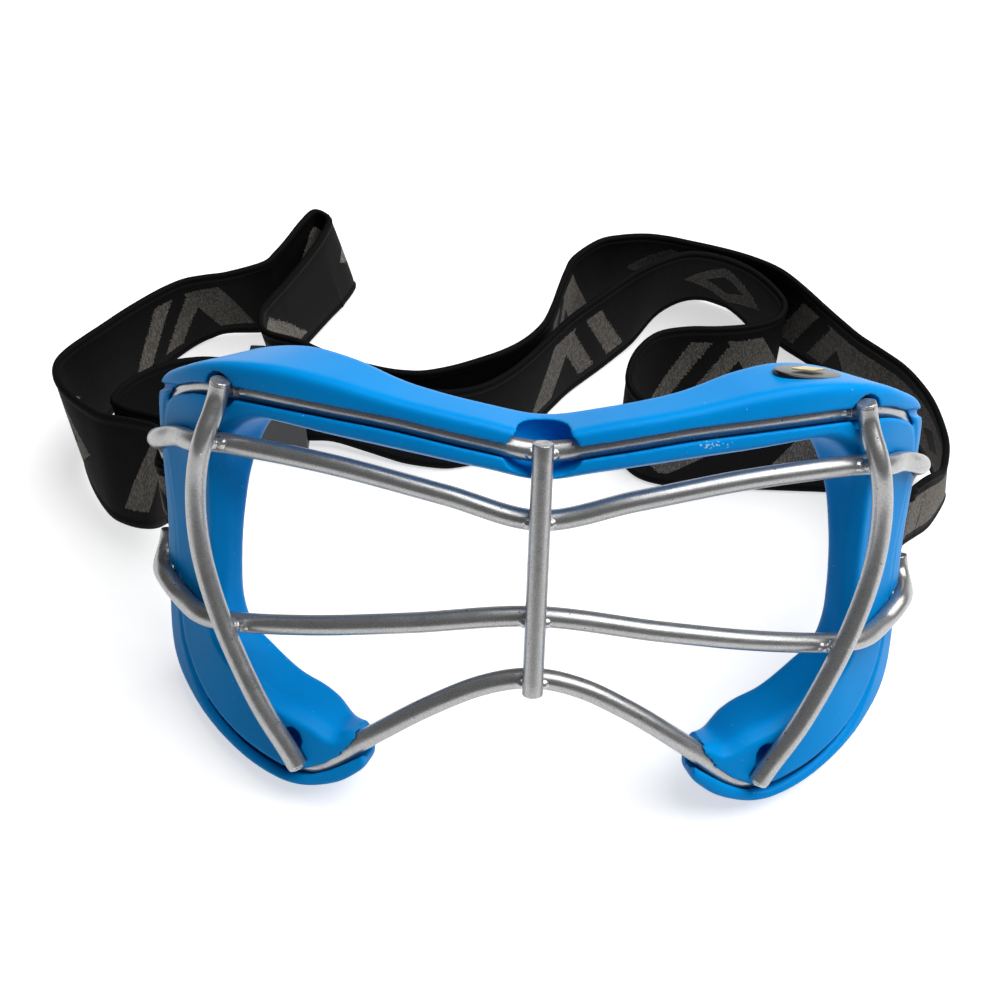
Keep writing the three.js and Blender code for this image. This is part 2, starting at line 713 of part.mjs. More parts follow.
// The slider's place in the inner run, where the band is straight
const sliderShares = [-0.6, 0.76, 1.092, -0.6, 0.76, 0.096];
const innerRunShares = [
  [-0.76, 0.48, 1.358, -0.76, 0.44, 0.654], [-0.83, 0.539, 1.25, -0.809, 0.506, 0.357],
  [-0.914, 0.58, 1.179, -0.881, 0.546, 0.245], [-0.949, 0.616, 1.142, -0.929, 0.603, 0.166],
  [-0.918, 0.685, 1.107, -0.914, 0.687, 0.119], [-0.85, 0.738, 1.096, -0.85, 0.74, 0.1],
  [-0.78, 0.759, 1.092, -0.78, 0.76, 0.096], [-0.72, 0.76, 1.092, -0.72, 0.76, 0.096],
  [-0.66, 0.76, 1.092, -0.66, 0.76, 0.096], sliderShares,
  [-0.54, 0.76, 1.092, -0.54, 0.76, 0.096], [-0.48, 0.759, 1.088, -0.48, 0.76, 0.092],
  [-0.4, 0.738, 1.06, -0.4, 0.74, 0.06], [-0.3, 0.712, 1.02, -0.3, 0.714, 0.022],
  [-0.22, 0.703, 1.011, -0.22, 0.705, 0.015],
  [-0.129, 0.724, 1.011, -0.129, 0.727, 0.015], [-0.05, 0.788, 1.011, -0.05, 0.791, 0.015],
  [0.014, 0.871, 1.011, 0.014, 0.875, 0.015], [0.078, 0.96, 1.011, 0.078, 0.964, 0.015],
  [0.157, 1.044, 1.011, 0.157, 1.048, 0.015], [0.236, 1.118, 1.03, 0.244, 1.14, 0.06],
  [0.295, 1.152, 1.055, 0.308, 1.222, 0.15], [0.364, 1.178, 1.07, 0.389, 1.27, 0.18],
  [0.443, 1.167, 1.07, 0.473, 1.258, 0.18], [0.516, 1.133, 1.05, 0.54, 1.2, 0.13],
  [0.566, 1.083, 1.025, 0.585, 1.115, 0.06], [0.59, 1.034, 1.011, 0.591, 1.038, 0.015],
  [0.571, 0.985, 1.011, 0.571, 0.989, 0.015], [0.512, 0.955, 1.011, 0.512, 0.959, 0.015],
  [0.433, 0.941, 1.011, 0.433, 0.944, 0.015], [0.354, 0.936, 1.011, 0.354, 0.939, 0.015],
  [0.285, 0.916, 1.011, 0.285, 0.919, 0.015], [0.24, 0.867, 1.011, 0.241, 0.87, 0.015],
  [0.216, 0.807, 1.011, 0.216, 0.811, 0.015], [0.214, 0.748, 1.011, 0.214, 0.752, 0.015],
  [0.245, 0.699, 1.011, 0.246, 0.702, 0.015], [0.305, 0.674, 1.011, 0.305, 0.678, 0.015],
  [0.393, 0.669, 1.011, 0.394, 0.673, 0.015], [0.512, 0.669, 1.011, 0.512, 0.673, 0.015],
  [0.63, 0.669, 1.011, 0.631, 0.673, 0.015], [0.728, 0.667, 1.011, 0.729, 0.671, 0.015],
  [0.797, 0.64, 1.037, 0.808, 0.653, 0.037], [0.817, 0.581, 1.107, 0.838, 0.598, 0.13],
  [0.803, 0.528, 1.172, 0.821, 0.533, 0.254], [0.78, 0.489, 1.25, 0.795, 0.484, 0.398],
];

const wrapSteps = 6;
// The share of the loop on each side from which the band's direction is taken
const tangentShare = 1e-4;

// The band round the front of a post, from the post's outer side to its inner side
function wrapPlaces(side, frame) {
  const reach = wireRadius + touchGap + strapThickness / 2;
  return Array.from({ length: wrapSteps + 1 }, (_, i) => {
    const angle = (Math.PI * i) / wrapSteps;
    const edge = (height) => {
      const place = postAt(height);
      place.x += reach * Math.cos(angle);
      place.y -= reach * Math.sin(angle);
      place.x *= side;
      return place.applyMatrix4(frame);
    };
    return [edge(strapPostTop), edge(strapPostTop - strapPostWidth)];
  });
}

const runPlace = ([topX, topY, topZ, lowX, lowY, lowZ]) => [
  new THREE.Vector3(topX * strapSpread, topY * strapSpread, topZ * strapWidth),
  new THREE.Vector3(lowX * strapSpread, lowY * strapSpread, lowZ * strapWidth),
];

// A closed band: rings of four corners on smooth curves through its edges' places
function strapBand(frame) {
  const places = [
    ...outerRunShares.map(runPlace),
    ...wrapPlaces(1, frame),
    ...innerRunShares.map(runPlace).reverse(),
    ...wrapPlaces(-1, frame).reverse(),
  ];
  const edges = [0, 1].map((edge) =>
    new THREE.CatmullRomCurve3(places.map((place) => place[edge]), true, "centripetal"));
  const middle = (u) => edges[0].getPoint(u).add(edges[1].getPoint(u)).multiplyScalar(0.5);
  const rings = [];
  places.forEach((place, i) => {
    const here = middle(i / places.length);
    const count = Math.max(1, Math.round(here.distanceTo(middle((i + 1) / places.length)) / strapStep));
    for (let k = 0; k < count; k += 1) {
      const u = (i + k / count) / places.length;
      const half = edges[0].getPoint(u).sub(edges[1].getPoint(u)).multiplyScalar(0.5);
      half.clampLength(0, strapWidth / 2);
      const ahead = middle(u + tangentShare).sub(middle(u - tangentShare + (u < tangentShare ? 1 : 0)));
      const across = ahead.cross(half).setLength(strapThickness / 2);
      const centre = middle(u);
      rings.push([[1, 1], [1, -1], [-1, -1], [-1, 1]].map(([up, out]) =>
        centre.clone().addScaledVector(half, up).addScaledVector(across, out)));
    }
  });
  return loft(rings);
}

const block = (x, y, z) => new THREE.BoxGeometry(x, y, z);

// The slider: a plain frame round the band
function sliderFrame() {
  const [top, low] = runPlace(sliderShares);
  const centre = top.clone().add(low).multiplyScalar(0.5);
  const slotThick = strapThickness + 2 * sliderClearance;
  const slotTall = top.z - low.z + 2 * sliderClearance;
  const frame = block(sliderLength, slotThick + 2 * sliderWall, slotTall + 2 * sliderWall);
  const slot = block(2 * sliderLength, slotThick, slotTall);
  return geometryOf(solid(frame).subtract(solid(slot))).translate(...centre.toArray());
}

const assembly = new THREE.Group();
goggles.updateMatrix();
assembly.add(goggles);
assembly.add(part("strap", strapBand(goggles.matrix), webbing));
assembly.add(part("strap_slider", sliderFrame(), blackPlastic));

// The origin lies at the middle of the object's footprint, on the rest plane
const bounds = new THREE.Box3().setFromObject(assembly, true);
const middle = bounds.getCenter(new THREE.Vector3());
assembly.position.set(-middle.x, -middle.y, -bounds.min.z);

export default assembly;
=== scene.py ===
"""Looks of the wire-cage goggles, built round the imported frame: metres, +Z up, front to -Y."""

import json
import math

import bpy
import bmesh
import numpy as np
from mathutils import Matrix, Vector, noise

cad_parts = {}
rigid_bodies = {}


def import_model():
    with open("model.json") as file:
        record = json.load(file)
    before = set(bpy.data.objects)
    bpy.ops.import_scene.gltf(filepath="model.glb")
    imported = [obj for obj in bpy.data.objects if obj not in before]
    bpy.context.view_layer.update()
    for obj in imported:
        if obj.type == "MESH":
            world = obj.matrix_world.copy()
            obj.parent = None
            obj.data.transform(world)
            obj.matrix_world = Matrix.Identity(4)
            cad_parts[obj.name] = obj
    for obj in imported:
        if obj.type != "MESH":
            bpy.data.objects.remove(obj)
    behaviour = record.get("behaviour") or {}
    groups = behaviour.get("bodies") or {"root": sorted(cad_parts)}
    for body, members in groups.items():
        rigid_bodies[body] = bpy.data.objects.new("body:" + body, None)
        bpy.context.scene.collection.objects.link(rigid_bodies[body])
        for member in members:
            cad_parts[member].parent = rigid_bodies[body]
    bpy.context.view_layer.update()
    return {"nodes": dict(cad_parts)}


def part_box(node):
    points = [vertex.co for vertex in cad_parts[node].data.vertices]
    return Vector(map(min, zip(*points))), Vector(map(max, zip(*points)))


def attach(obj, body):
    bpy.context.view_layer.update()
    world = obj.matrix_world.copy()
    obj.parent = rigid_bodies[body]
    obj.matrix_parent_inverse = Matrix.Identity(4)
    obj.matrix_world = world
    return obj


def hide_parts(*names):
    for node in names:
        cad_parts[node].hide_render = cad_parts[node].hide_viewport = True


MM = 0.001
BODY = "goggles"

for left_over in list(bpy.data.objects):
    bpy.data.objects.remove(left_over)
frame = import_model()
nodes = frame["nodes"]


# Materials

def new_material(name):
    material = bpy.data.materials.new(name)
    material.use_nodes = True
    tree = material.node_tree
    return material, tree, tree.nodes["Principled BSDF"]


def add_node(tree, kind, **values):
    """A node with values on its unlinked inputs, set by name."""
    node = tree.nodes.new(kind)
    for name, value in values.items():
        node.inputs[name.title()].default_value = value
    return node


def ramp(tree, source, stops):
    node = tree.nodes.new("ShaderNodeValToRGB")
    elements = node.color_ramp.elements
    while len(elements) < len(stops):
        elements.new(0.5)
    for element, (place, value) in zip(elements, stops):
        element.position = place
        element.color = (*value, 1)
    tree.links.new(source, node.inputs["Fac"])
    return node


def grey(value):
    return (value, value, value)


def math_node(tree, operation, first, second=None):
    node = tree.nodes.new("ShaderNodeMath")
    node.operation = operation
    for socket, value in zip(node.inputs, (first, second)):
        if value is None:
            continue
        if isinstance(value, (int, float)):
            socket.default_value = value
        else:
            tree.links.new(value, socket)
    return node.outputs["Value"]


def mix_colour(tree, factor, first, second):
    node = tree.nodes.new("ShaderNodeMix")
    node.data_type = "RGBA"
    for socket, value in ((node.inputs["Factor"], factor), (node.inputs["A"], first),
                          (node.inputs["B"], second)):
        if isinstance(value, tuple):
            socket.default_value = (*value, 1)
        else:
            tree.links.new(value, socket)
    return node.outputs["Result"]


def noise_texture(tree, vector, scale, detail):
    node = add_node(tree, "ShaderNodeTexNoise", scale=scale, detail=detail)
    tree.links.new(vector, node.inputs["Vector"])
    return node.outputs["Fac"]


def bump(tree, shader, height, strength, distance, before=None):
    node = add_node(tree, "ShaderNodeBump", strength=strength, distance=distance)
    tree.links.new(height, node.inputs["Height"])
    if before is not None:
        tree.links.new(before, node.inputs["Normal"])
    tree.links.new(node.outputs["Normal"], shader.inputs["Normal"])
    return node.outputs["Normal"]


def object_places(tree):
    return tree.nodes.new("ShaderNodeTexCoord").outputs["Object"]


# The silver coat: noise scales per metre, bump depths, and tones as shares of the base tone
FLAKE_SCALE = 6500
FLAKE_TONES = [(0.38, 0.78), (0.5, 1), (0.64, 1.35)]
FLAKE_BUMP = 0.2
FLAKE_DEPTH = 0.01 * MM
MOTTLE_SCALE = 420
MOTTLE_ROUGHNESS = [(0.3, -0.04), (0.7, 0.06)]
MOTTLE_DEPTH = 0.2 * MM
SPECK_SCALE = 1100
SPECK_EDGE = [(0.77, (0, 0, 0)), (0.79, (1, 1, 1))]
SPECK_TONE = 0.2


def wire_coat(name, base, roughness, roughen):
    """Silver powder coat: a fine metallic sparkle, soft mottling and a few dark pinpricks."""
    material, tree, shader = new_material(name)
    places = object_places(tree)
    flakes = noise_texture(tree, places, FLAKE_SCALE, detail=2)
    mottle = noise_texture(tree, places, MOTTLE_SCALE, detail=3)
    specks = ramp(tree, noise_texture(tree, places, SPECK_SCALE, detail=1), SPECK_EDGE)
    fine = ramp(tree, flakes, [(place, grey(base * tone)) for place, tone in FLAKE_TONES])
    spotted = mix_colour(tree, specks.outputs["Color"], fine.outputs["Color"], grey(base * SPECK_TONE))
    tree.links.new(spotted, shader.inputs["Base Color"])
    shader.inputs["Metallic"].default_value = 0.8
    shader.inputs["Specular IOR Level"].default_value = 0.5
    rough = ramp(tree, mottle, [(place, grey(roughness + change)) for place, change in MOTTLE_ROUGHNESS])
    tree.links.new(rough.outputs["Color"], shader.inputs["Roughness"])
    grain = bump(tree, shader, flakes, FLAKE_BUMP, FLAKE_DEPTH)
    bump(tree, shader, mottle, roughen, MOTTLE_DEPTH, grain)
    return material


# The silicone: its blues, and how strong and fine its pale dust specks, painted highlight streaks,
# ripple and grain are
CLOUD_SCALE = 60
CLOUD_BLUES = [(0.3, (0.0, 0.29, 0.78)), (0.7, (0.0, 0.315, 0.83))]
DUST_SCALE = 1500
DUST_EDGE = [(0.735, (0, 0, 0)), (0.77, (1, 1, 1))]
# Pale streaks along the lower lip are painted highlight, added to the dust specks' mask in the same pale
# blue
HIGHLIGHT_SHARE = 0.2
DUST_AND_HIGHLIGHT_BLUE = (0.42, 0.66, 0.86)
GLOW_DEPTH = 1.2 * MM
RIPPLE_SCALE = 130
RIPPLE_BUMP = 0.08
RIPPLE_DEPTH = 0.6 * MM
GRAIN_SCALE = 1800
GRAIN_BUMP = 0.1
GRAIN_DEPTH = 0.05 * MM


def silicone_material():
    """Bright blue silicone: a soft sheen, a faint moulded ripple, pale dust specks and a painted
    highlight streak on the lower lip.
    """
    material, tree, shader = new_material("blue_silicone")
    places = object_places(tree)
    colour = ramp(tree, noise_texture(tree, places, CLOUD_SCALE, detail=2), CLOUD_BLUES)
    painted_highlight = tree.nodes.new("ShaderNodeAttribute")
    painted_highlight.attribute_name = "painted_highlight"
    # The pale patches are real dust specks plus a painted highlight streak on the lower lip
    dust_and_highlight = math_node(tree, "ADD", noise_texture(tree, places, DUST_SCALE, detail=4),
                     math_node(tree, "MULTIPLY", painted_highlight.outputs["Fac"], HIGHLIGHT_SHARE))
    dust_and_highlight_patches = ramp(tree, dust_and_highlight, DUST_EDGE)
    dusted_and_highlit = mix_colour(tree, dust_and_highlight_patches.outputs["Color"], colour.outputs["Color"], DUST_AND_HIGHLIGHT_BLUE)
    tree.links.new(dusted_and_highlit, shader.inputs["Base Color"])
    shader.inputs["Roughness"].default_value = 0.36
    shader.inputs["Specular IOR Level"].default_value = 0.06
    shader.inputs["Subsurface Weight"].default_value = 0.12
    shader.inputs["Subsurface Radius"].default_value = (0.4, 1.0, 2.0)
    shader.inputs["Subsurface Scale"].default_value = GLOW_DEPTH
    wave = noise_texture(tree, places, RIPPLE_SCALE, detail=1)
    grain = noise_texture(tree, places, GRAIN_SCALE, detail=2)
    ripple = bump(tree, shader, wave, RIPPLE_BUMP, RIPPLE_DEPTH)
    bump(tree, shader, grain, GRAIN_BUMP, GRAIN_DEPTH, ripple)
    return material


# The webbing's pattern, in band widths: its repeat, the slanted bars (start, width, slant), and
# the lozenge (place, then half its length and height outside and inside)
PATTERN_RUN = 3.3
BARS = [(0.1, 0.2, 0.5), (0.48, 0.2, 0.5), (2.5, 0.32, -0.5)]
LOZENGE_PLACE = 1.75
LOZENGE_OUTSIDE = (0.42, 0.36)
LOZENGE_INSIDE = (0.2, 0.17)
PATTERN_HALF = 0.33
JAG_SCALE = 46
JAG_REACH = 0.05
# Its weave: knots and ribs per band width, tones and bump depths
KNOTS = (95, 26, 1)
KNOT_BUMP = 0.3
KNOT_DEPTH = 0.12 * MM
RIB_COUNT = 22
RIB_BUMP = 0.15
RIB_DEPTH = 0.1 * MM
LINT_SCALE = 120
LINT_TONES = [(0.3, (0.0015, 0.0015, 0.002)), (0.75, (0.006, 0.006, 0.0065))]
THREAD_TONES = [(0.1, (0.3, 0.28, 0.25)), (0.6, (0.12, 0.11, 0.096))]


def webbing_material():
    """Near-black woven elastic with ribs across and a woven grey pattern of slanted bars and
    lozenges. The band's UV map runs in band widths along and across."""
    material, tree, shader = new_material("strap_webbing")
    band = tree.nodes.new("ShaderNodeUVMap")
    band.uv_map = "band"
    split = tree.nodes.new("ShaderNodeSeparateXYZ")
    tree.links.new(band.outputs["UV"], split.inputs["Vector"])
    jag = noise_texture(tree, band.outputs["UV"], JAG_SCALE, detail=1)
    shake = math_node(tree, "MULTIPLY", math_node(tree, "SUBTRACT", jag, 0.5), JAG_REACH)
    run = math_node(tree, "ADD", split.outputs["X"], shake)
    across = math_node(tree, "ADD", split.outputs["Y"], shake)

    def slanted_bar(start, width, slant):
        """1 inside a bar that leans along the band, once in each repeat of the pattern."""
        leaning = math_node(tree, "ADD", run, math_node(tree, "MULTIPLY", across, slant))
        place = math_node(tree, "MODULO", math_node(tree, "SUBTRACT", leaning, start), PATTERN_RUN)
        return math_node(tree, "LESS_THAN", place, width)

    def lozenge(length, height):
        """1 inside a lozenge of this half length and half height, once in each repeat."""
        start = LOZENGE_PLACE - length
        place = math_node(tree, "MODULO", math_node(tree, "SUBTRACT", run, start), PATTERN_RUN)
        off_run = math_node(tree, "ABSOLUTE", math_node(tree, "SUBTRACT", place, length))
        off_middle = math_node(tree, "ABSOLUTE", math_node(tree, "SUBTRACT", across, 0.5))
        reach = math_node(tree, "ADD", math_node(tree, "DIVIDE", off_run, length),
                          math_node(tree, "DIVIDE", off_middle, height))
        return math_node(tree, "LESS_THAN", reach, 1.0)

    shapes = lozenge(*LOZENGE_OUTSIDE)
    for bar in BARS:
        shapes = math_node(tree, "MAXIMUM", shapes, slanted_bar(*bar))
    hollow = lozenge(*LOZENGE_INSIDE)
    shapes = math_node(tree, "MULTIPLY", shapes, math_node(tree, "SUBTRACT", 1.0, hollow))
    middle = math_node(tree, "ABSOLUTE", math_node(tree, "SUBTRACT", across, 0.5))
    shapes = math_node(tree, "MULTIPLY", shapes, math_node(tree, "LESS_THAN", middle, PATTERN_HALF))

    stretch = add_node(tree, "ShaderNodeMapping")
    stretch.inputs["Scale"].default_value = KNOTS
    tree.links.new(band.outputs["UV"], stretch.inputs["Vector"])
    knots = add_node(tree, "ShaderNodeTexVoronoi", scale=1.0)
    tree.links.new(stretch.outputs["Vector"], knots.inputs["Vector"])
    dark = ramp(tree, noise_texture(tree, band.outputs["UV"], LINT_SCALE, detail=4), LINT_TONES)
    thread = ramp(tree, knots.outputs["Distance"], THREAD_TONES)
    tree.links.new(
        mix_colour(tree, shapes, dark.outputs["Color"], thread.outputs["Color"]),
        shader.inputs["Base Color"])
    shader.inputs["Roughness"].default_value = 0.72
    shader.inputs["Specular IOR Level"].default_value = 0.07
    ribs = math_node(tree, "ABSOLUTE", math_node(
        tree, "SINE", math_node(tree, "MULTIPLY", split.outputs["X"], RIB_COUNT * math.pi)))
    woven = bump(tree, shader, ribs, RIB_BUMP, RIB_DEPTH)
    bump(tree, shader, knots.outputs["Distance"], KNOT_BUMP, KNOT_DEPTH, woven)
    return material


SHADE_SCALE = 700
SHADE_TONES = [(0.3, 0.85), (0.7, 1.12)]
TOOLING_SCALE = 3500
TOOLING_BUMP = 0.12
TOOLING_DEPTH = 0.04 * MM


def plastic(name, colour, roughness, metallic=0.0):
    """Moulded plastic: slightly uneven in tone, with a fine tooling grain."""
    material, tree, shader = new_material(name)
    places = object_places(tree)
    shade = ramp(tree, noise_texture(tree, places, SHADE_SCALE, detail=2),
                 [(place, tuple(c * tone for c in colour)) for place, tone in SHADE_TONES])
    tree.links.new(shade.outputs["Color"], shader.inputs["Base Color"])
    shader.inputs["Metallic"].default_value = metallic
    shader.inputs["Roughness"].default_value = roughness
    tooling = noise_texture(tree, places, TOOLING_SCALE, detail=2)
    bump(tree, shader, tooling, TOOLING_BUMP, TOOLING_DEPTH)
    return material


coat = wire_coat("silver_coat", base=0.4, roughness=0.31, roughen=0.04)
# A lighter copy of the silver coat for the weld metal and the bar stretches beside it: its brighter base
# is painted highlight for the glints on the welds
highlit_weld_coat = wire_coat("highlit_weld_coat", base=0.5, roughness=0.28, roughen=0.15)
silicone = silicone_material()
webbing = webbing_material()
badge_black = plastic("badge_black", colour=(0.004, 0.004, 0.005), roughness=0.3)
badge_gilt = plastic("badge_gilt", colour=(0.7, 0.6, 0.32), roughness=0.4, metallic=0.4)
slider_black = plastic("slider_black", colour=(0.014, 0.014, 0.016), roughness=0.42)


# Mesh helpers

MERGE_GAP = 0.002 * MM
# A tube's first side is square to its start and to this direction, along which no bar runs
TUBE_LEAN = (0.3, 0.5, 0.8)
END_TURNS = [math.radians(degrees) for degrees in (0, 22.5, 45, 67.5, 90)]
# Middles nearer an end than this many times its rounding are left out
END_CLEAR = 1.1


def mesh_object(name, vertices, faces, material, smooth=True):
    mesh = bpy.data.meshes.new(name)
    mesh.from_pydata([tuple(v) for v in vertices], [], faces)
    mesh.materials.append(material)
    mesh.update()
    piece = bpy.data.objects.new(name, mesh)
    bpy.context.scene.collection.objects.link(piece)
    if smooth:
        mesh.shade_smooth()
    return piece


def object_of(name, mesh):
    """An object made from a bmesh, which is freed."""
    data = bpy.data.meshes.new(name)
    mesh.to_mesh(data)
    mesh.free()
    piece = bpy.data.objects.new(name, data)
    bpy.context.scene.collection.objects.link(piece)
    return piece


def apply_modifiers(piece):
    graph = bpy.context.evaluated_depsgraph_get()
    mesh = bpy.data.meshes.new_from_object(piece.evaluated_get(graph))
    old = piece.data
    piece.modifiers.clear()
    piece.data = mesh
    bpy.data.meshes.remove(old)


def discard(*pieces):
    for piece in pieces:
        bpy.data.objects.remove(piece)


def present(piece, slot, *replaced, body=BODY):
    """The finished piece rides on its body and stands for its CAD nodes."""
    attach(piece, body)
    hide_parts(*replaced)


def welded_mesh(node):
    """A CAD node's mesh with shared corners merged."""
    mesh = bmesh.new()
    mesh.from_mesh(nodes[node].data)
    bmesh.ops.remove_doubles(mesh, verts=mesh.verts, dist=MERGE_GAP)
    return mesh


def smooth_path(points, per_span, closed=False):
    """Points on a smooth cubic curve through the given points."""
    count = len(points)
    result = []
    spans = count if closed else count - 1
    for i in range(spans):
        if closed:
            p = [points[(i + k) % count] for k in (-1, 0, 1, 2)]
        else:
            p = [points[min(max(i + k, 0), count - 1)] for k in (-1, 0, 1, 2)]
        for k in range(per_span):
            u = k / per_span
            cubic = 3 * (p[1] - p[2]) + p[3] - p[0]
            square = 2 * p[0] - 5 * p[1] + 4 * p[2] - p[3]
            result.append(p[1] + 0.5 * u * (p[2] - p[0] + u * (square + u * cubic)))
    if not closed:
        result.append(points[-1])
    return np.array(result)


def tube(name, centres, radius, material, sides, end_round=0.0):
    """A round bar through its centre line, with flat ends whose edge is rounded."""
    centres = np.array(centres, float)
    from_ends = np.linalg.norm(centres[:, None] - centres[[0, -1]], axis=2).min(axis=1)
    clear_of_ends = from_ends > end_round * END_CLEAR
    clear_of_ends[[0, -1]] = True
    centres = centres[clear_of_ends]
    tangents = np.gradient(centres, axis=0)
    tangents /= np.linalg.norm(tangents, axis=1)[:, None]
    side = np.cross(tangents[0], TUBE_LEAN)
    side /= np.linalg.norm(side)
    rings = [(c, radius) for c in centres]
    directions = list(tangents)
    if end_round:
        bulge = [(end_round * (1 - math.sin(a)), radius - end_round * (1 - math.cos(a)))
                 for a in END_TURNS]
        rings[0] = (centres[0] + tangents[0] * bulge[0][0], radius)
        rings[-1] = (centres[-1] - tangents[-1] * bulge[0][0], radius)
        first = [(centres[0] + tangents[0] * back, size) for back, size in reversed(bulge[1:])]
        last = [(centres[-1] - tangents[-1] * back, size) for back, size in bulge[1:]]
        rings = first + rings + last
        directions = [tangents[0]] * len(first) + directions + [tangents[-1]] * len(last)
    vertices = []
    for (centre, size), tangent in zip(rings, directions):
        side = side - tangent * side.dot(tangent)
        side /= np.linalg.norm(side)
        up = np.cross(tangent, side)
        for k in range(sides):
            angle = 2 * math.pi * k / sides
            vertices.append(centre + size * (math.cos(angle) * side + math.sin(angle) * up))
    faces = []
    for i in range(len(rings) - 1):
        for k in range(sides):
            j = (k + 1) % sides
            faces.append((i * sides + k, i * sides + j, (i + 1) * sides + j, (i + 1) * sides + k))
    faces.append(tuple(reversed(range(sides))))
    faces.append(tuple((len(rings) - 1) * sides + k for k in range(sides)))
    piece = mesh_object(name, vertices, faces, material)
    piece.data.polygons[len(faces) - 1].use_smooth = False
    piece.data.polygons[len(faces) - 2].use_smooth = False
    return piece


# Wires: centre lines are read from the frame's faceted bars

CAD_SIDES = 8
# A walk round a bar starts at the corner furthest to the right, where a low place counts less
WALK_LEAN = 3
FLAT_ENOUGH = 0.99999


def end_ring(mesh):
    """The corners of one flat end of a faceted bar: the end that a walk along the edges reaches
    last."""
    start = max(mesh.verts, key=lambda v: v.co.x * WALK_LEAN - v.co.z)
    reached = {start}
    front = [start]
    last = start
    while front:
        following = []
        for vertex in front:
            for edge in vertex.link_edges:
                other = edge.other_vert(vertex)
                if other not in reached:
                    reached.add(other)
                    following.append(other)
        if following:
            last = following[0]
        front = following
    groups = []
    for face in last.link_faces:
        group = {face}
        stack = [face]
        while stack:
            for edge in stack.pop().edges:
                for near in edge.link_faces:
                    if near not in group and near.normal.dot(face.normal) > FLAT_ENOUGH:
                        group.add(near)
                        stack.append(near)
        groups.append({v for f in group for v in f.verts})
    ends = [group for group in groups if len(group) == CAD_SIDES]
    return min(ends, key=lambda group: max((v.co - last.co).length for v in group))


def centre_line(node):
    """The middles of a faceted bar's rings from end to end, and its radius."""
    mesh = welded_mesh(node)
    mesh.normal_update()
    ring = end_ring(mesh)
    reached = set(ring)
    middles = []
    radius = 0.0
    while ring:
        middle = sum((v.co for v in ring), Vector()) / len(ring)
        radius = max(radius, max((v.co - middle).length for v in ring))
        middles.append(np.array(middle))
        ring = {e.other_vert(v) for v in ring for e in v.link_edges} - reached
        reached |= ring
    mesh.free()
    return np.array(middles), radius


WIRES = ("rim_wire", "nose_wire", "centre_bar", "upper_crossbar", "lower_crossbar",
         "side_bar_left", "side_bar_right")
WIRE_SIDES = 26
WIRE_SPLIT = 3
WIRE_ENDS = 0.22 * MM
SIDE_BAR_ENDS = 0.8 * MM
# All wires have one radius, so the last one's serves wherever a wire's radius is needed
lines = {}
for wire in WIRES:
    middles, wire_radius = centre_line(wire)
    lines[wire] = smooth_path(middles, WIRE_SPLIT)
    ends = SIDE_BAR_ENDS if wire.startswith("side") else WIRE_ENDS
    piece = tube(wire + "_coated", lines[wire], wire_radius, coat, WIRE_SIDES, ends)
    present(piece, "coated_steel", wire)


# Weld fillets: two bars and a little weld metal, run together where they cross

FILLET_REACH = 6.5 * MM
FILLET_SEARCH = 3 * FILLET_REACH
FILLET_SIDES = 24
FILLET_VOXEL = 0.2 * MM
FILLET_ROUNDS = 9
FILLET_SHRINK = 0.06 * MM
SMOOTH_FACTOR = 0.5
BEAD_SPLITS = 3
BEAD_RADIUS = 1.5 * MM
SIDE_BEAD_RADIUS = 0.8 * BEAD_RADIUS
# Where a side bead stands: its way out from the rear bar, and its place between the two bars
BEAD_OUT_SHARE = 0.62
BEAD_BACK_SHARE = 0.15
BEAD_LIFT_SHARE = 0.42
# How uneven the weld metal is: lumps and grit, their scales per metre and their heights
LUMP_SCALE = 900
GRIT_SCALE = 2300
GRIT_SHARE = 0.5
SMOOTH_WELD = 0.05 * MM
POST_WELD = 0.06 * MM
FOOT_WELD = 0.08 * MM
CROSSING_WELDS = {"left": 0.12 * MM, "right": 0.1 * MM}


def stretch_near(line, place, reach):
    """The part of a centre line within reach of a place."""
    near = np.linalg.norm(line - place, axis=1) < reach
    first, last = np.flatnonzero(near)[[0, -1]]
    return line[max(first - 1, 0):last + 2]


def bead_ball(place, radius):
    mesh = bmesh.new()
    bmesh.ops.create_icosphere(mesh, subdivisions=BEAD_SPLITS, radius=radius,
                               matrix=Matrix.Translation(place))
    return object_of("bead", mesh)


def joined(name, pieces, material):
    """Several closed meshes as one object."""
    mesh = bmesh.new()
    for piece in pieces:
        mesh.from_mesh(piece.data)
    discard(*pieces)
    whole = object_of(name, mesh)
    whole.data.materials.append(material)
    return whole


def remeshed(piece, voxel, rounds):
    remesh = piece.modifiers.new("remesh", "REMESH")
    remesh.mode = "VOXEL"
    remesh.voxel_size = voxel
    remesh.use_smooth_shade = True
    rounding = piece.modifiers.new("rounding", "SMOOTH")
    rounding.factor = SMOOTH_FACTOR
    rounding.iterations = rounds
    apply_modifiers(piece)


def surface(piece):
    """A mesh's vertex places and normals as arrays."""
    count = len(piece.data.vertices)
    places = np.empty(count * 3)
    normals = np.empty(count * 3)
    piece.data.vertices.foreach_get("co", places)
    piece.data.vertices.foreach_get("normal", normals)
    return places.reshape(-1, 3), normals.reshape(-1, 3)


def move_to(piece, places):
    piece.data.vertices.foreach_set("co", places.ravel())
    piece.data.update()


def box_middle(node):
    low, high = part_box(node)
    return np.array((low + high) / 2)


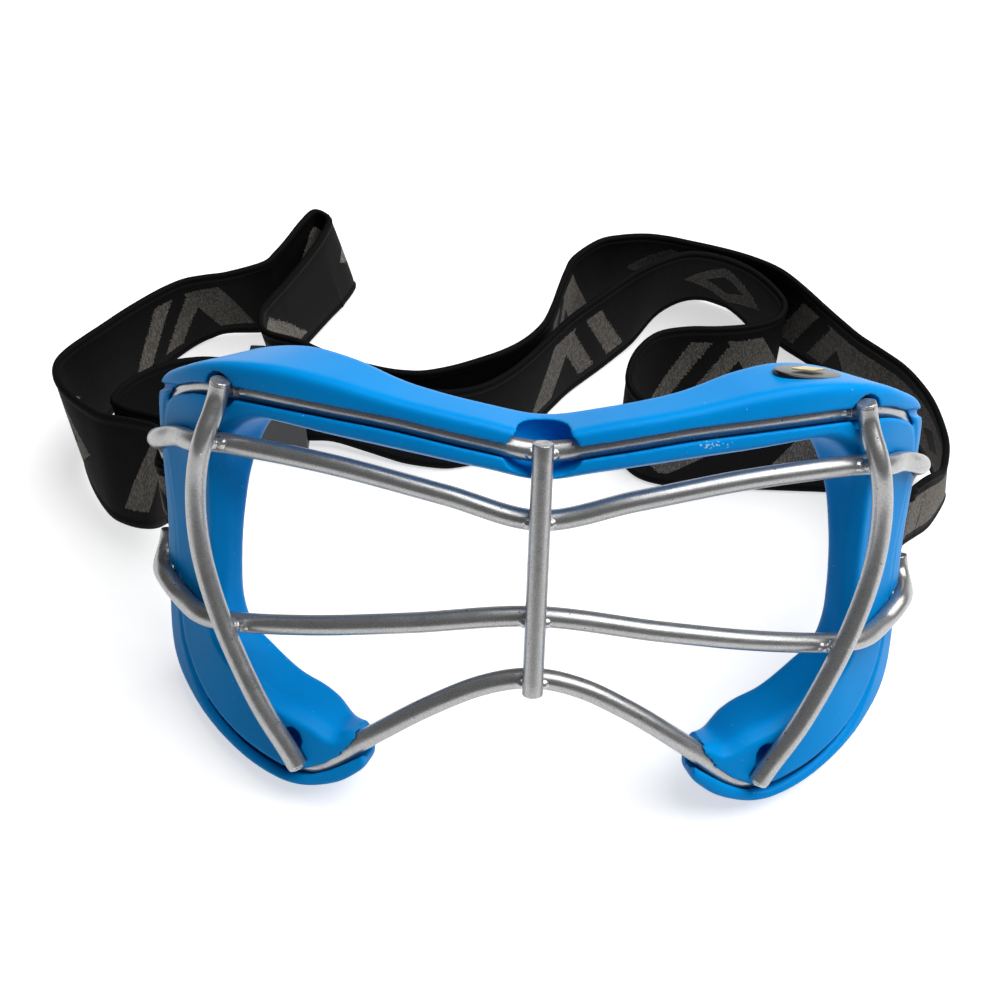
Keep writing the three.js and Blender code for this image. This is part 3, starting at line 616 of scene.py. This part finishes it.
def weld_fillet(front, rear, rough, *beads):
    """Weld metal in the corners between a front bar and a rear one, in place of its plain beads."""
    near = np.mean([box_middle(bead) for bead in beads], axis=0)
    a = stretch_near(lines[front], near, FILLET_SEARCH)
    b = stretch_near(lines[rear], near, FILLET_SEARCH)
    apart = np.linalg.norm(a[:, None] - b[None], axis=2)
    i, j = np.unravel_index(apart.argmin(), apart.shape)
    touch = (a[i] + b[j]) / 2
    rise = a[i] - b[j]
    radius = wire_radius - FILLET_SHRINK
    pieces = [tube("bar", stretch_near(line, touch, FILLET_REACH), radius, highlit_weld_coat, FILLET_SIDES)
              for line in (lines[front], lines[rear])]
    pieces.append(bead_ball(touch, BEAD_RADIUS))
    for bead in beads:
        aside = box_middle(bead) - b[j] - rise * BEAD_BACK_SHARE
        place = b[j] + aside * BEAD_OUT_SHARE + rise * BEAD_LIFT_SHARE
        pieces.append(bead_ball(place, SIDE_BEAD_RADIUS))
    piece = joined(beads[0] + "_fillet", pieces, highlit_weld_coat)
    remeshed(piece, FILLET_VOXEL, FILLET_ROUNDS)
    places, normals = surface(piece)
    uneven = [noise.noise(Vector(p) * LUMP_SCALE) + GRIT_SHARE * noise.noise(Vector(p) * GRIT_SCALE)
              for p in places]
    move_to(piece, places + normals * (np.array(uneven) * rough)[:, None])
    present(piece, "weld_metal", *beads)


for height, rear in (("brow", "rim_wire"), ("upper", "upper_crossbar"), ("lower", "lower_crossbar"),
                     ("nose", "nose_wire")):
    beads = [f"weld_centre_{height}_{side}" for side in ("left", "right")]
    weld_fillet("centre_bar", rear, SMOOTH_WELD, *beads)
for side, rough in CROSSING_WELDS.items():
    bar = "side_bar_" + side
    weld_fillet(bar, "rim_wire", SMOOTH_WELD, f"weld_{side}_top_inner")
    for height in ("upper", "lower"):
        beads = [f"weld_{side}_{height}_{edge}" for edge in ("inner", "outer")]
        weld_fillet(bar, height + "_crossbar", rough, *beads)
    weld_fillet(bar, "rim_wire", FOOT_WELD, f"weld_{side}_foot_outer")
    weld_fillet("upper_crossbar", "lower_crossbar", POST_WELD, f"weld_{side}_post")


# Face pad: a moulded channel round the rim wire, in the goggles' own axes (mm), which the
# centre bar gives: x to the right, y to the back, z up along the bar

CAGE_HEIGHT = 80
# The centre bar's top lies this far above the axes' middle, and the rim this far behind the bar
CENTRE_TOP = 0.19 * CAGE_HEIGHT
LAYER = 4.4
bar_line = lines["centre_bar"]
bar_up = Vector(bar_line[0] - bar_line[-1]).normalized()
if bar_up.z < 0:
    bar_up = -bar_up
bar_top = Vector(max(bar_line, key=lambda p: p[2]))
right = Vector((1, 0, 0))
turn = Matrix((right, bar_up.cross(right), bar_up)).transposed().to_4x4()
own_axes = Matrix.Translation(bar_top - bar_up * CENTRE_TOP * MM) @ turn @ Matrix.Scale(MM, 4)

# The rim's plan: a wide curve in front, a tighter one at the temples, then straight on
RIM_FRONT_RADIUS = 125
RIM_FRONT_RUN = 45
RIM_TEMPLE_RADIUS = 60
RIM_TEMPLE_ANGLE = math.radians(62)
RIM_REACH = 90

# Stations from the middle of the brow to the cheek, as shares of the rim's reach and the cage's
# height: the wire, and the pad's outer and inner edges
WIRE_SHARES = [
    (0, 0.15), (0.13, 0.172), (0.3, 0.202), (0.45, 0.214), (0.58, 0.217), (0.7, 0.208), (0.82, 0.18),
    (0.915, 0.12), (0.94, 0.02), (0.925, -0.09), (0.91, -0.2), (0.905, -0.31), (0.9, -0.42),
    (0.875, -0.54), (0.8, -0.65), (0.7, -0.718), (0.6, -0.752), (0.53, -0.76), (0.46, -0.73),
    (0.4, -0.69), (0.375, -0.675),
]
OUTER_SHARES = [
    (0, 0.205), (0.135, 0.232), (0.3, 0.263), (0.455, 0.293), (0.59, 0.3), (0.73, 0.276),
    (0.845, 0.23), (0.958, 0.158), (0.985, 0.04), (0.978, -0.08), (0.97, -0.2), (0.97, -0.32),
    (0.974, -0.45), (0.95, -0.6), (0.852, -0.69), (0.705, -0.765), (0.59, -0.805), (0.51, -0.812),
    (0.43, -0.785), (0.38, -0.745), (0.362, -0.722),
]
INNER_SHARES = [
    (0, 0.083), (0.125, 0.105), (0.295, 0.13), (0.445, 0.147), (0.56, 0.158), (0.64, 0.145),
    (0.7, 0.09), (0.727, 0.02), (0.732, -0.05), (0.732, -0.13), (0.735, -0.21), (0.742, -0.3),
    (0.752, -0.39), (0.745, -0.465), (0.695, -0.515), (0.61, -0.572), (0.535, -0.6), (0.485, -0.62),
    (0.44, -0.645), (0.405, -0.637), (0.385, -0.63),
]
# By station: depth behind the wire, how far the lips stand in front and how wide the slot is
DEPTH_SHARES = [0.76, 0.64, 0.68, 0.92, 1, 0.95, 0.8, 0.66, 0.52, 0.42, 0.37, 0.38, 0.45, 0.57, 0.7, 0.8,
                0.85, 0.8, 0.65, 0.45, 0.36]
LIP_SHARES = [1, 1, 1, 1, 1, 1, 0.9, 0.7, 0.4, 0.2, 0, 0, 0, 0.2, 0.5, 0.8, 1, 0.9, 0.8, 0.6, 0.4]
SLOT_SHARES = [1, 1, 1, 1, 1, 0.95, 0.7, 0.1, -0.28, -0.28, -0.28, -0.28, -0.28, -0.22, 0.06, 0.22, 0.4,
               0.5, 0.56, 0.67, 0.67]
# By station: how wide the slot's mouth is chamfered, and how far it is moved to the outer edge.
# A slot of less than nothing closes the lips, so that only the chamfer is left as a crease
MOUTH_SHARES = [0.3, 0.3, 0.3, 0.3, 0.3, 0.3, 0.5, 0.7, 0.6, 0.6, 0.6, 0.7, 0.9, 1, 1, 1, 0.9, 0.6, 0.5,
                0.5, 0.5]
SHIFT_SHARES = [0, 0, 0, 0, 0, 0, 0, 0, 0, 0, 0, 0, 0.2, 0.4, 0.4, 0.4, 0.9, 1.3, 1.2, 0.8, 0.4]
PAD_DEPTH = 14
LIP_SIDE = 2.5
LIP_BROW = 3.5
SLOT_HALF = 1.25
MOUTH = 1.0
GROOVE_HALF = 2.3
GROOVE_FRONT = 0.7
LIP_BEVEL = 1.7
BEVEL_RISE = 1.6
# How far each corner of the section is cut back, and the largest share of a side that a cut takes
SECTION_CUTS = [2.2, 0.5, 0.3, 0.3, 0.8, 0.8, 0.3, 0.3, 0.5, 0.8, 0.8, 2.6, 2.6]
CUT_SHARE_LIMIT = 0.48
CORNER_STEPS = 4
PER_STATION = 12
LAST_STATION = len(WIRE_SHARES) - 1
# The slot's direction at a place is taken over this much of a station to each side
NEARBY = 0.1
SEARCH_STEPS = 800
# Side bars cross the brow above this level
CROSSING_LEVEL = 60 * MM
# The painted highlight streaks on the lower lip: their middle and reach across and up, and how far back
# they go
HIGHLIGHT_PLACE = (32, 14.3)
HIGHLIGHT_REACH = (5, 0.9)
HIGHLIGHT_BACK = 14
HOLLOW_OUT = 1.2
# Hollows and pits: half the width, the depth, and the reach above and below the middle
HOLLOW_SPLITS = 4
CENTRE_HOLLOW = (7.4, 9.4, 6.4, 4.2)
TEMPLE_HOLLOW = (4.4, 4.2, 4.4, 3.8)
TEMPLE_SHIFT = 1.0
FOOT_HOLLOW = (2.5, 5.5, 2.9, 3.2)
# A pit's distance from the side bar's lowest point, and how far it lies aside of the bar
FOOT_REACH = 5.4 * MM
FOOT_ASIDE = 2.9
CREASE_RADIUS = 0.85 * MM
CREASE_SIDES = 12
CREASE_SPLIT = 5
# Run and height shares and the distance out of the fold at a temple
TEMPLE_CREASE = [(0.82, 0.178, 3.2), (0.88, 0.163, 3.0), (0.93, 0.147, 2.8), (0.965, 0.135, 2.4),
                 (1.0, 0.125, 1.9)]
PAD_GAP = 0.25 * MM
PAD_GAP_SIDES = 20
PAD_VOXEL = 0.36 * MM
PAD_ROUNDS = 4


def between(table, place):
    """A value between a table's stations, on a smooth curve through them, mirrored at 0."""
    table = [np.array(row, float) for row in table]
    i = min(int(place), len(table) - 2)
    u = place - i

    def at(k):
        row = table[min(abs(k), len(table) - 1)]
        if k < 0 and row.shape:
            row = row * (-1, 1)
        return row

    a, b, c, d = (at(i + k) for k in (-1, 0, 1, 2))
    return b + u / 2 * (c - a + u * (2 * a - 5 * b + 4 * c - d + u * (3 * (b - c) + d - a)))


def along(table, place):
    """A point between a table's stations, by its run and height in mm."""
    run, height = between(table, abs(place))
    return np.array((math.copysign(run, place) * RIM_REACH, height * CAGE_HEIGHT))


def on_rim(place, out):
    """A point of the rim's surface by its run and height, moved out to the front."""
    run, height = place
    s = abs(run)
    knee = RIM_FRONT_RUN / RIM_FRONT_RADIUS
    angle = s / RIM_FRONT_RADIUS
    x = RIM_FRONT_RADIUS * math.sin(angle)
    y = LAYER + RIM_FRONT_RADIUS * (1 - math.cos(angle))
    if s > RIM_FRONT_RUN:
        angle = min(knee + (s - RIM_FRONT_RUN) / RIM_TEMPLE_RADIUS, RIM_TEMPLE_ANGLE)
        straight = max(0, s - RIM_FRONT_RUN - (RIM_TEMPLE_ANGLE - knee) * RIM_TEMPLE_RADIUS)
        x = RIM_FRONT_RADIUS * math.sin(knee) + RIM_TEMPLE_RADIUS * (math.sin(angle) - math.sin(knee))
        x += straight * math.cos(angle)
        y = LAYER + RIM_FRONT_RADIUS * (1 - math.cos(knee))
        y += RIM_TEMPLE_RADIUS * (math.cos(knee) - math.cos(angle)) + straight * math.sin(angle)
    side = math.copysign(1, run)
    return np.array((side * (x + out * math.sin(angle)), y - out * math.cos(angle), height))


def rounded(corners, cuts):
    """A closed outline with its corners rounded off by the given cuts."""
    points = []
    for i, corner in enumerate(corners):
        before = corners[i - 1] - corner
        after = corners[(i + 1) % len(corners)] - corner
        start = corner + before * min(cuts[i] / np.linalg.norm(before), CUT_SHARE_LIMIT)
        end = corner + after * min(cuts[i] / np.linalg.norm(after), CUT_SHARE_LIMIT)
        for k in range(CORNER_STEPS + 1):
            u = k / CORNER_STEPS
            points.append(start * (1 - u) ** 2 + corner * 2 * u * (1 - u) + end * u ** 2)
    return points


def pad_ring(place):
    """The pad's section at a place between its stations: a channel round the wire with two lips."""
    wire = along(WIRE_SHARES, place)
    outer = along(OUTER_SHARES, place)
    inner = along(INNER_SHARES, place)
    depth = float(between(DEPTH_SHARES, abs(place))) * PAD_DEPTH
    share = float(between(LIP_SHARES, abs(place)))
    lip = LIP_SIDE + (LIP_BROW - LIP_SIDE) * share
    slot = SLOT_HALF * float(between(SLOT_SHARES, abs(place)))
    mouth = MOUTH * float(between(MOUTH_SHARES, abs(place)))
    shift = -MOUTH * float(between(SHIFT_SHARES, abs(place)))
    to_outer = np.linalg.norm(outer - wire)
    to_inner = np.linalg.norm(inner - wire)
    ahead = along(WIRE_SHARES, min(place + NEARBY, LAST_STATION))
    behind = along(WIRE_SHARES, max(place - NEARBY, -LAST_STATION))
    across = np.array((behind[1] - ahead[1], ahead[0] - behind[0]))
    across /= np.linalg.norm(across)
    if across.dot(outer - wire) < 0:
        across = -across

    def at(reach, out):
        edge, full = (outer, to_outer) if reach < 0 else (inner, to_inner)
        return on_rim(wire + (edge - wire) * abs(reach) / full, out)

    def beside(reach, out):
        return on_rim(wire - across * reach, out)

    bevel = min(LIP_BEVEL, (to_inner - GROOVE_HALF) / 2)
    corners = [
        at(-to_outer, lip), beside(shift - slot - mouth, lip), beside(shift - slot, lip - mouth),
        beside(-GROOVE_HALF, GROOVE_FRONT), beside(-GROOVE_HALF, -GROOVE_HALF),
        beside(GROOVE_HALF, -GROOVE_HALF), beside(GROOVE_HALF, GROOVE_FRONT),
        beside(shift + slot, lip - mouth), beside(shift + slot + mouth, lip),
        at(to_inner - bevel, lip), at(to_inner, lip - bevel * BEVEL_RISE),
        at(to_inner, -depth), at(-to_outer, -depth),
    ]
    return rounded(corners, SECTION_CUTS)


def loft(name, rings, material):
    """A closed skin over rings of as many points each, with flat ends."""
    count = len(rings[0])
    faces = []
    for i in range(len(rings) - 1):
        here = i * count
        there = here + count
        for k in range(count):
            j = (k + 1) % count
            faces.append((here + k, here + j, there + j, there + k))
    faces.append(tuple(reversed(range(count))))
    faces.append(tuple((len(rings) - 1) * count + k for k in range(count)))
    piece = mesh_object(name, [p for ring in rings for p in ring], faces, material)
    skin = bmesh.new()
    skin.from_mesh(piece.data)
    bmesh.ops.triangulate(skin, faces=[f for f in skin.faces if len(f.verts) > 4])
    bmesh.ops.recalc_face_normals(skin, faces=skin.faces)
    skin.to_mesh(piece.data)
    skin.free()
    return piece


def cut(piece, tools):
    for tool in tools:
        carve = piece.modifiers.new("cut", "BOOLEAN")
        carve.operation = "DIFFERENCE"
        carve.solver = "MANIFOLD"
        carve.object = tool
        apply_modifiers(piece)
    discard(*tools)


def hollow_tool(place, wide, deep, high, low):
    """A rounded hollow in the lips, with a reach of its own above its middle and below it."""
    mesh = bmesh.new()
    bmesh.ops.create_icosphere(mesh, subdivisions=HOLLOW_SPLITS, radius=1)
    middle = on_rim(place, HOLLOW_OUT)
    across = on_rim(place + np.array((1, 0)), HOLLOW_OUT) - middle
    across /= np.linalg.norm(across)
    level = np.array((-across[1], across[0], 0))
    for vertex in mesh.verts:
        x, y, z = vertex.co
        rise = np.array((0, 0, z * (high if z > 0 else low)))
        vertex.co = own_axes @ Vector(middle + across * x * wide + level * y * deep + rise)
    return object_of("hollow", mesh)


def rim_crossing(bar):
    """Where a bar crosses the rim wire near its top, by run and height."""
    upper = lines[bar][lines[bar][:, 2] > CROSSING_LEVEL]
    rim = lines["rim_wire"]
    apart = np.linalg.norm(upper[:, None] - rim[None], axis=2)
    _, j = np.unravel_index(apart.argmin(), apart.shape)
    place = np.array(own_axes.inverted() @ Vector(rim[j]))
    choices = [along(WIRE_SHARES, u) for u in np.linspace(-LAST_STATION, LAST_STATION, SEARCH_STEPS)]
    return min(choices, key=lambda c: np.linalg.norm(on_rim(c, 0) - place))


def beside_foot(bar):
    """The pit's place between a side bar's foot and the nose, by run and height."""
    line = lines[bar]
    foot = line[line[:, 2].argmin()]
    point = min(line, key=lambda p: abs(np.linalg.norm(p - foot) - FOOT_REACH))
    x, _, height = own_axes.inverted() @ Vector(point)
    runs = np.linspace(-RIM_REACH, RIM_REACH, SEARCH_STEPS)
    run = min(runs, key=lambda r: abs(on_rim((r, height), 0)[0] - x))
    return np.array((run - math.copysign(FOOT_ASIDE, run), height))


def crease_tool(side):
    """The fold between the two lobes at a temple, from the bar outwards."""
    path = [on_rim(np.array((side * run * RIM_REACH, height * CAGE_HEIGHT)), out)
            for run, height, out in TEMPLE_CREASE]
    path = smooth_path([np.array(own_axes @ Vector(p)) for p in path], CREASE_SPLIT)
    return tube("crease", path, CREASE_RADIUS, silicone, CREASE_SIDES)


def mark_painted_highlight(pad, places):
    """How strongly the painted highlight streak on the lower lip lies at each corner of the pad's mesh,
    for its material.
    """
    inward = np.array(own_axes.inverted())
    x, y, z = (places @ inward[:3, :3].T + inward[:3, 3]).T
    beside = (x - HIGHLIGHT_PLACE[0]) / HIGHLIGHT_REACH[0]
    above = (z - HIGHLIGHT_PLACE[1]) / HIGHLIGHT_REACH[1]
    # A painted highlight: pale streaks on the lower lip, fading out from their middle
    highlight_weight = np.exp(-beside ** 2 - above ** 2) * (y < HIGHLIGHT_BACK)
    pad.data.attributes.new("painted_highlight", "FLOAT", "POINT").data.foreach_set("value", highlight_weight)


def make_pad():
    count = LAST_STATION * PER_STATION
    rings = [[np.array(own_axes @ Vector(p)) for p in pad_ring(i / PER_STATION)]
             for i in range(-count, count + 1)]
    pad = loft("moulded_pad", rings, silicone)
    tools = [hollow_tool(along(WIRE_SHARES, 0), *CENTRE_HOLLOW)]
    for side, away in (("left", -1), ("right", 1)):
        place = rim_crossing("side_bar_" + side) + np.array((away * TEMPLE_SHIFT, 0))
        tools.append(hollow_tool(place, *TEMPLE_HOLLOW))
        tools.append(hollow_tool(beside_foot("side_bar_" + side), *FOOT_HOLLOW))
    for bar in ("side_bar_left", "side_bar_right", "nose_wire", "upper_crossbar", "lower_crossbar"):
        tools.append(tube("clearance", lines[bar], wire_radius + PAD_GAP, silicone, PAD_GAP_SIDES))
    tools += [crease_tool(-1), crease_tool(1)]
    cut(pad, tools)
    remeshed(pad, PAD_VOXEL, PAD_ROUNDS)
    places, _ = surface(pad)
    places[:, 2] = places[:, 2].clip(0)
    move_to(pad, places)
    mark_painted_highlight(pad, places)
    present(pad, "silicone", "face_pad")


make_pad()


# Strap: a woven band with rolled edges along the frame's plain band

STRAP_THICK = 1.5 * MM
# Neighbours along the band are nearer than this, and the other edge is further off
STEP_LIMIT = 12 * MM
# How much a difference in direction weighs against a millimetre when the other edge is looked for
TURN_WEIGHT = 1000
BAND_SPLIT = 5
# Half the band's profile from its edge to its middle: place across, as a share of the width, and
# half thickness, as a share of the full thickness
BAND_PROFILE = [(0, 0.12), (0.006, 0.36), (0.02, 0.52), (0.042, 0.56), (0.064, 0.49), (0.078, 0.35),
                (0.095, 0.4), (0.2, 0.44), (0.35, 0.46), (0.5, 0.46)]


def band_edges():
    """The upper and the lower edge of the frame's band, row by row round it."""
    mesh = welded_mesh("strap")
    centres = {}
    across = {}
    for vertex in mesh.verts:
        twin = min((e.other_vert(vertex) for e in vertex.link_edges),
                   key=lambda v: abs((v.co - vertex.co).length - STRAP_THICK))
        pair = frozenset((vertex, twin))
        centres[pair] = (vertex.co + twin.co) / 2
        across[pair] = (vertex.co - twin.co).normalized()
    owner = {v: pair for pair in centres for v in pair}

    def links(pair):
        return {owner[e.other_vert(v)] for v in pair for e in v.link_edges} - {pair}

    def span(one, other):
        return (centres[one] - centres[other]).length

    def unlike(one, other):
        return (1 - abs(across[one].dot(across[other]))) * TURN_WEIGHT + span(one, other) / MM

    def partner(pair):
        return min((o for o in links(pair) if span(pair, o) > STEP_LIMIT), key=lambda o: unlike(pair, o))

    start = max(centres, key=lambda pair: centres[pair].z)
    rows = []
    here, before = start, None
    while here != start or before is None:
        rows.append((np.array(centres[here]), np.array(centres[partner(here)])))
        onward = [o for o in links(here) if span(here, o) <= STEP_LIMIT and o != before]
        before, here = here, min(onward, key=lambda o: span(here, o))
    mesh.free()
    return rows


def band_profile():
    """Points round the band's section: place across (0 to 1) and height off its middle layer."""
    face = BAND_PROFILE + [(1 - u, t) for u, t in reversed(BAND_PROFILE[:-1])]
    return face + [(u, -t) for u, t in reversed(face)]


def make_strap():
    rows = band_edges()
    top = smooth_path([r[0] for r in rows], BAND_SPLIT, closed=True)
    low = smooth_path([r[1] for r in rows], BAND_SPLIT, closed=True)
    middle = (top + low) / 2
    ahead = np.roll(middle, -1, axis=0) - np.roll(middle, 1, axis=0)
    outward = np.cross(ahead, top - low)
    outward /= np.linalg.norm(outward, axis=1)[:, None]
    steps = np.linalg.norm(np.roll(middle, -1, axis=0) - middle, axis=1)
    travel = np.concatenate(([0], np.cumsum(steps)))
    width = np.median(np.linalg.norm(top - low, axis=1))
    profile = band_profile()
    count, sides = len(middle), len(profile)
    vertices = []
    for i in range(count):
        for u, t in profile:
            vertices.append(low[i] + (top[i] - low[i]) * u + outward[i] * (t * STRAP_THICK))
    faces = []
    places = []
    for i in range(count):
        j = (i + 1) % count
        for k in range(sides):
            m = (k + 1) % sides
            faces.append((i * sides + k, j * sides + k, j * sides + m, i * sides + m))
            runs = (travel[i] / width, travel[i + 1] / width)
            places += [(runs[0], profile[k][0]), (runs[1], profile[k][0]),
                       (runs[1], profile[m][0]), (runs[0], profile[m][0])]
    strap = mesh_object("woven_strap", vertices, faces, webbing)
    band = strap.data.uv_layers.new(name="band")
    band.data.foreach_set("uv", np.array(places).ravel())
    present(strap, "webbing", "strap")


make_strap()


# Badge, lozenge and slider: the frame's own shapes with their edges rounded

FLAT_ANGLE = math.radians(1)
EDGE_ANGLE = math.radians(40)
EDGE_STEPS = 4
PLATE_EDGE = 0.35 * MM
LOZENGE_EDGE = 0.12 * MM
SLIDER_EDGE = 0.45 * MM


def rounded_copy(node, slot, material, edge, body=BODY):
    mesh = welded_mesh(node)
    bmesh.ops.dissolve_limit(mesh, angle_limit=FLAT_ANGLE, verts=mesh.verts, edges=mesh.edges)
    piece = object_of(node + "_moulded", mesh)
    piece.data.materials.append(material)
    rounding = piece.modifiers.new("rounding", "BEVEL")
    rounding.width = edge
    rounding.segments = EDGE_STEPS
    rounding.limit_method = "ANGLE"
    rounding.angle_limit = EDGE_ANGLE
    apply_modifiers(piece)
    piece.data.shade_smooth()
    present(piece, slot, node, body=body)


rounded_copy("badge_plate", "badge_plastic", badge_black, PLATE_EDGE)
rounded_copy("badge_lozenge", "badge_gilt", badge_gilt, LOZENGE_EDGE)
rounded_copy("strap_slider", "slider_plastic", slider_black, SLIDER_EDGE, body="slider")


# Stage and light

FLOOR_REACH = 4
FLOOR_TONE = 0.8
FLOOR_GLOW = 0.6
LAMP_PLACE = (0.5, 0.15, 1.1)
LAMP_AIM = (0, -0.02, 0.04)
LAMP_SIZE = (1.3, 1.2)
LAMP_POWER = 20
WORLD_LIGHT = 0.12


def add_floor():
    """A pale floor: white to the eye and in gloss, with the object's shadow on it."""
    material = bpy.data.materials.new("floor_white")
    material.use_nodes = True
    tree = material.node_tree
    tree.nodes.remove(tree.nodes["Principled BSDF"])
    output = tree.nodes["Material Output"]
    plain = add_node(tree, "ShaderNodeBsdfDiffuse")
    plain.inputs["Color"].default_value = (*grey(FLOOR_TONE), 1)
    glow = add_node(tree, "ShaderNodeEmission", strength=FLOOR_GLOW)
    both = tree.nodes.new("ShaderNodeAddShader")
    tree.links.new(plain.outputs[0], both.inputs[0])
    tree.links.new(glow.outputs[0], both.inputs[1])
    rays = tree.nodes.new("ShaderNodeLightPath")
    seen = math_node(tree, "MAXIMUM", rays.outputs["Is Camera Ray"], rays.outputs["Is Glossy Ray"])
    seen = math_node(tree, "MAXIMUM", seen, rays.outputs["Is Transmission Ray"])
    choice = tree.nodes.new("ShaderNodeMixShader")
    tree.links.new(seen, choice.inputs[0])
    tree.links.new(plain.outputs[0], choice.inputs[1])
    tree.links.new(both.outputs[0], choice.inputs[2])
    tree.links.new(choice.outputs[0], output.inputs["Surface"])
    corners = [(x * FLOOR_REACH, y * FLOOR_REACH, 0) for x, y in ((-1, -1), (1, -1), (1, 1), (-1, 1))]
    floor = mesh_object("floor", corners, [(0, 1, 2, 3)], material, smooth=False)


def add_lamp():
    """One wide window of soft light, above and to the right."""
    data = bpy.data.lights.new("window", "AREA")
    data.shape = "RECTANGLE"
    data.size, data.size_y = LAMP_SIZE
    data.energy = LAMP_POWER
    lamp = bpy.data.objects.new("window", data)
    lamp.location = LAMP_PLACE
    lamp.rotation_euler = (Vector(LAMP_AIM) - Vector(LAMP_PLACE)).to_track_quat("-Z", "Y").to_euler()
    bpy.context.scene.collection.objects.link(lamp)


def add_world():
    world = bpy.data.worlds.new("studio")
    world.use_nodes = True
    background = world.node_tree.nodes["Background"]
    background.inputs["Color"].default_value = (1, 1, 1, 1)
    background.inputs["Strength"].default_value = WORLD_LIGHT
    bpy.context.scene.world = world


add_floor()
add_lamp()
add_world()


# Camera: the photograph's viewing angle, in the frame's axes

CAMERA_PLACE = (-0.311 * MM, -272.353 * MM, 330.328 * MM)
CAMERA_DOWN = math.radians(50)
CAMERA_ROLL = math.radians(2)
FOCAL_SHARE = 1.825
SENSOR = 36
NEAREST = 10 * MM


def add_camera():
    data = bpy.data.cameras.new("camera")
    data.sensor_width = SENSOR
    data.lens = SENSOR * FOCAL_SHARE
    data.clip_start = NEAREST
    camera = bpy.data.objects.new("camera", data)
    ahead = Vector((0, math.cos(CAMERA_DOWN), -math.sin(CAMERA_DOWN)))
    level_up = Vector((0, math.sin(CAMERA_DOWN), math.cos(CAMERA_DOWN)))
    level_right = Vector((1, 0, 0))
    right = level_right * math.cos(CAMERA_ROLL) + level_up * math.sin(CAMERA_ROLL)
    up = level_up * math.cos(CAMERA_ROLL) - level_right * math.sin(CAMERA_ROLL)
    turn = Matrix((right, up, -ahead)).transposed().to_4x4()
    camera.matrix_world = Matrix.Translation(CAMERA_PLACE) @ turn
    bpy.context.scene.collection.objects.link(camera)
    bpy.context.scene.camera = camera


add_camera()
bpy.context.scene.view_settings.view_transform = "Standard"
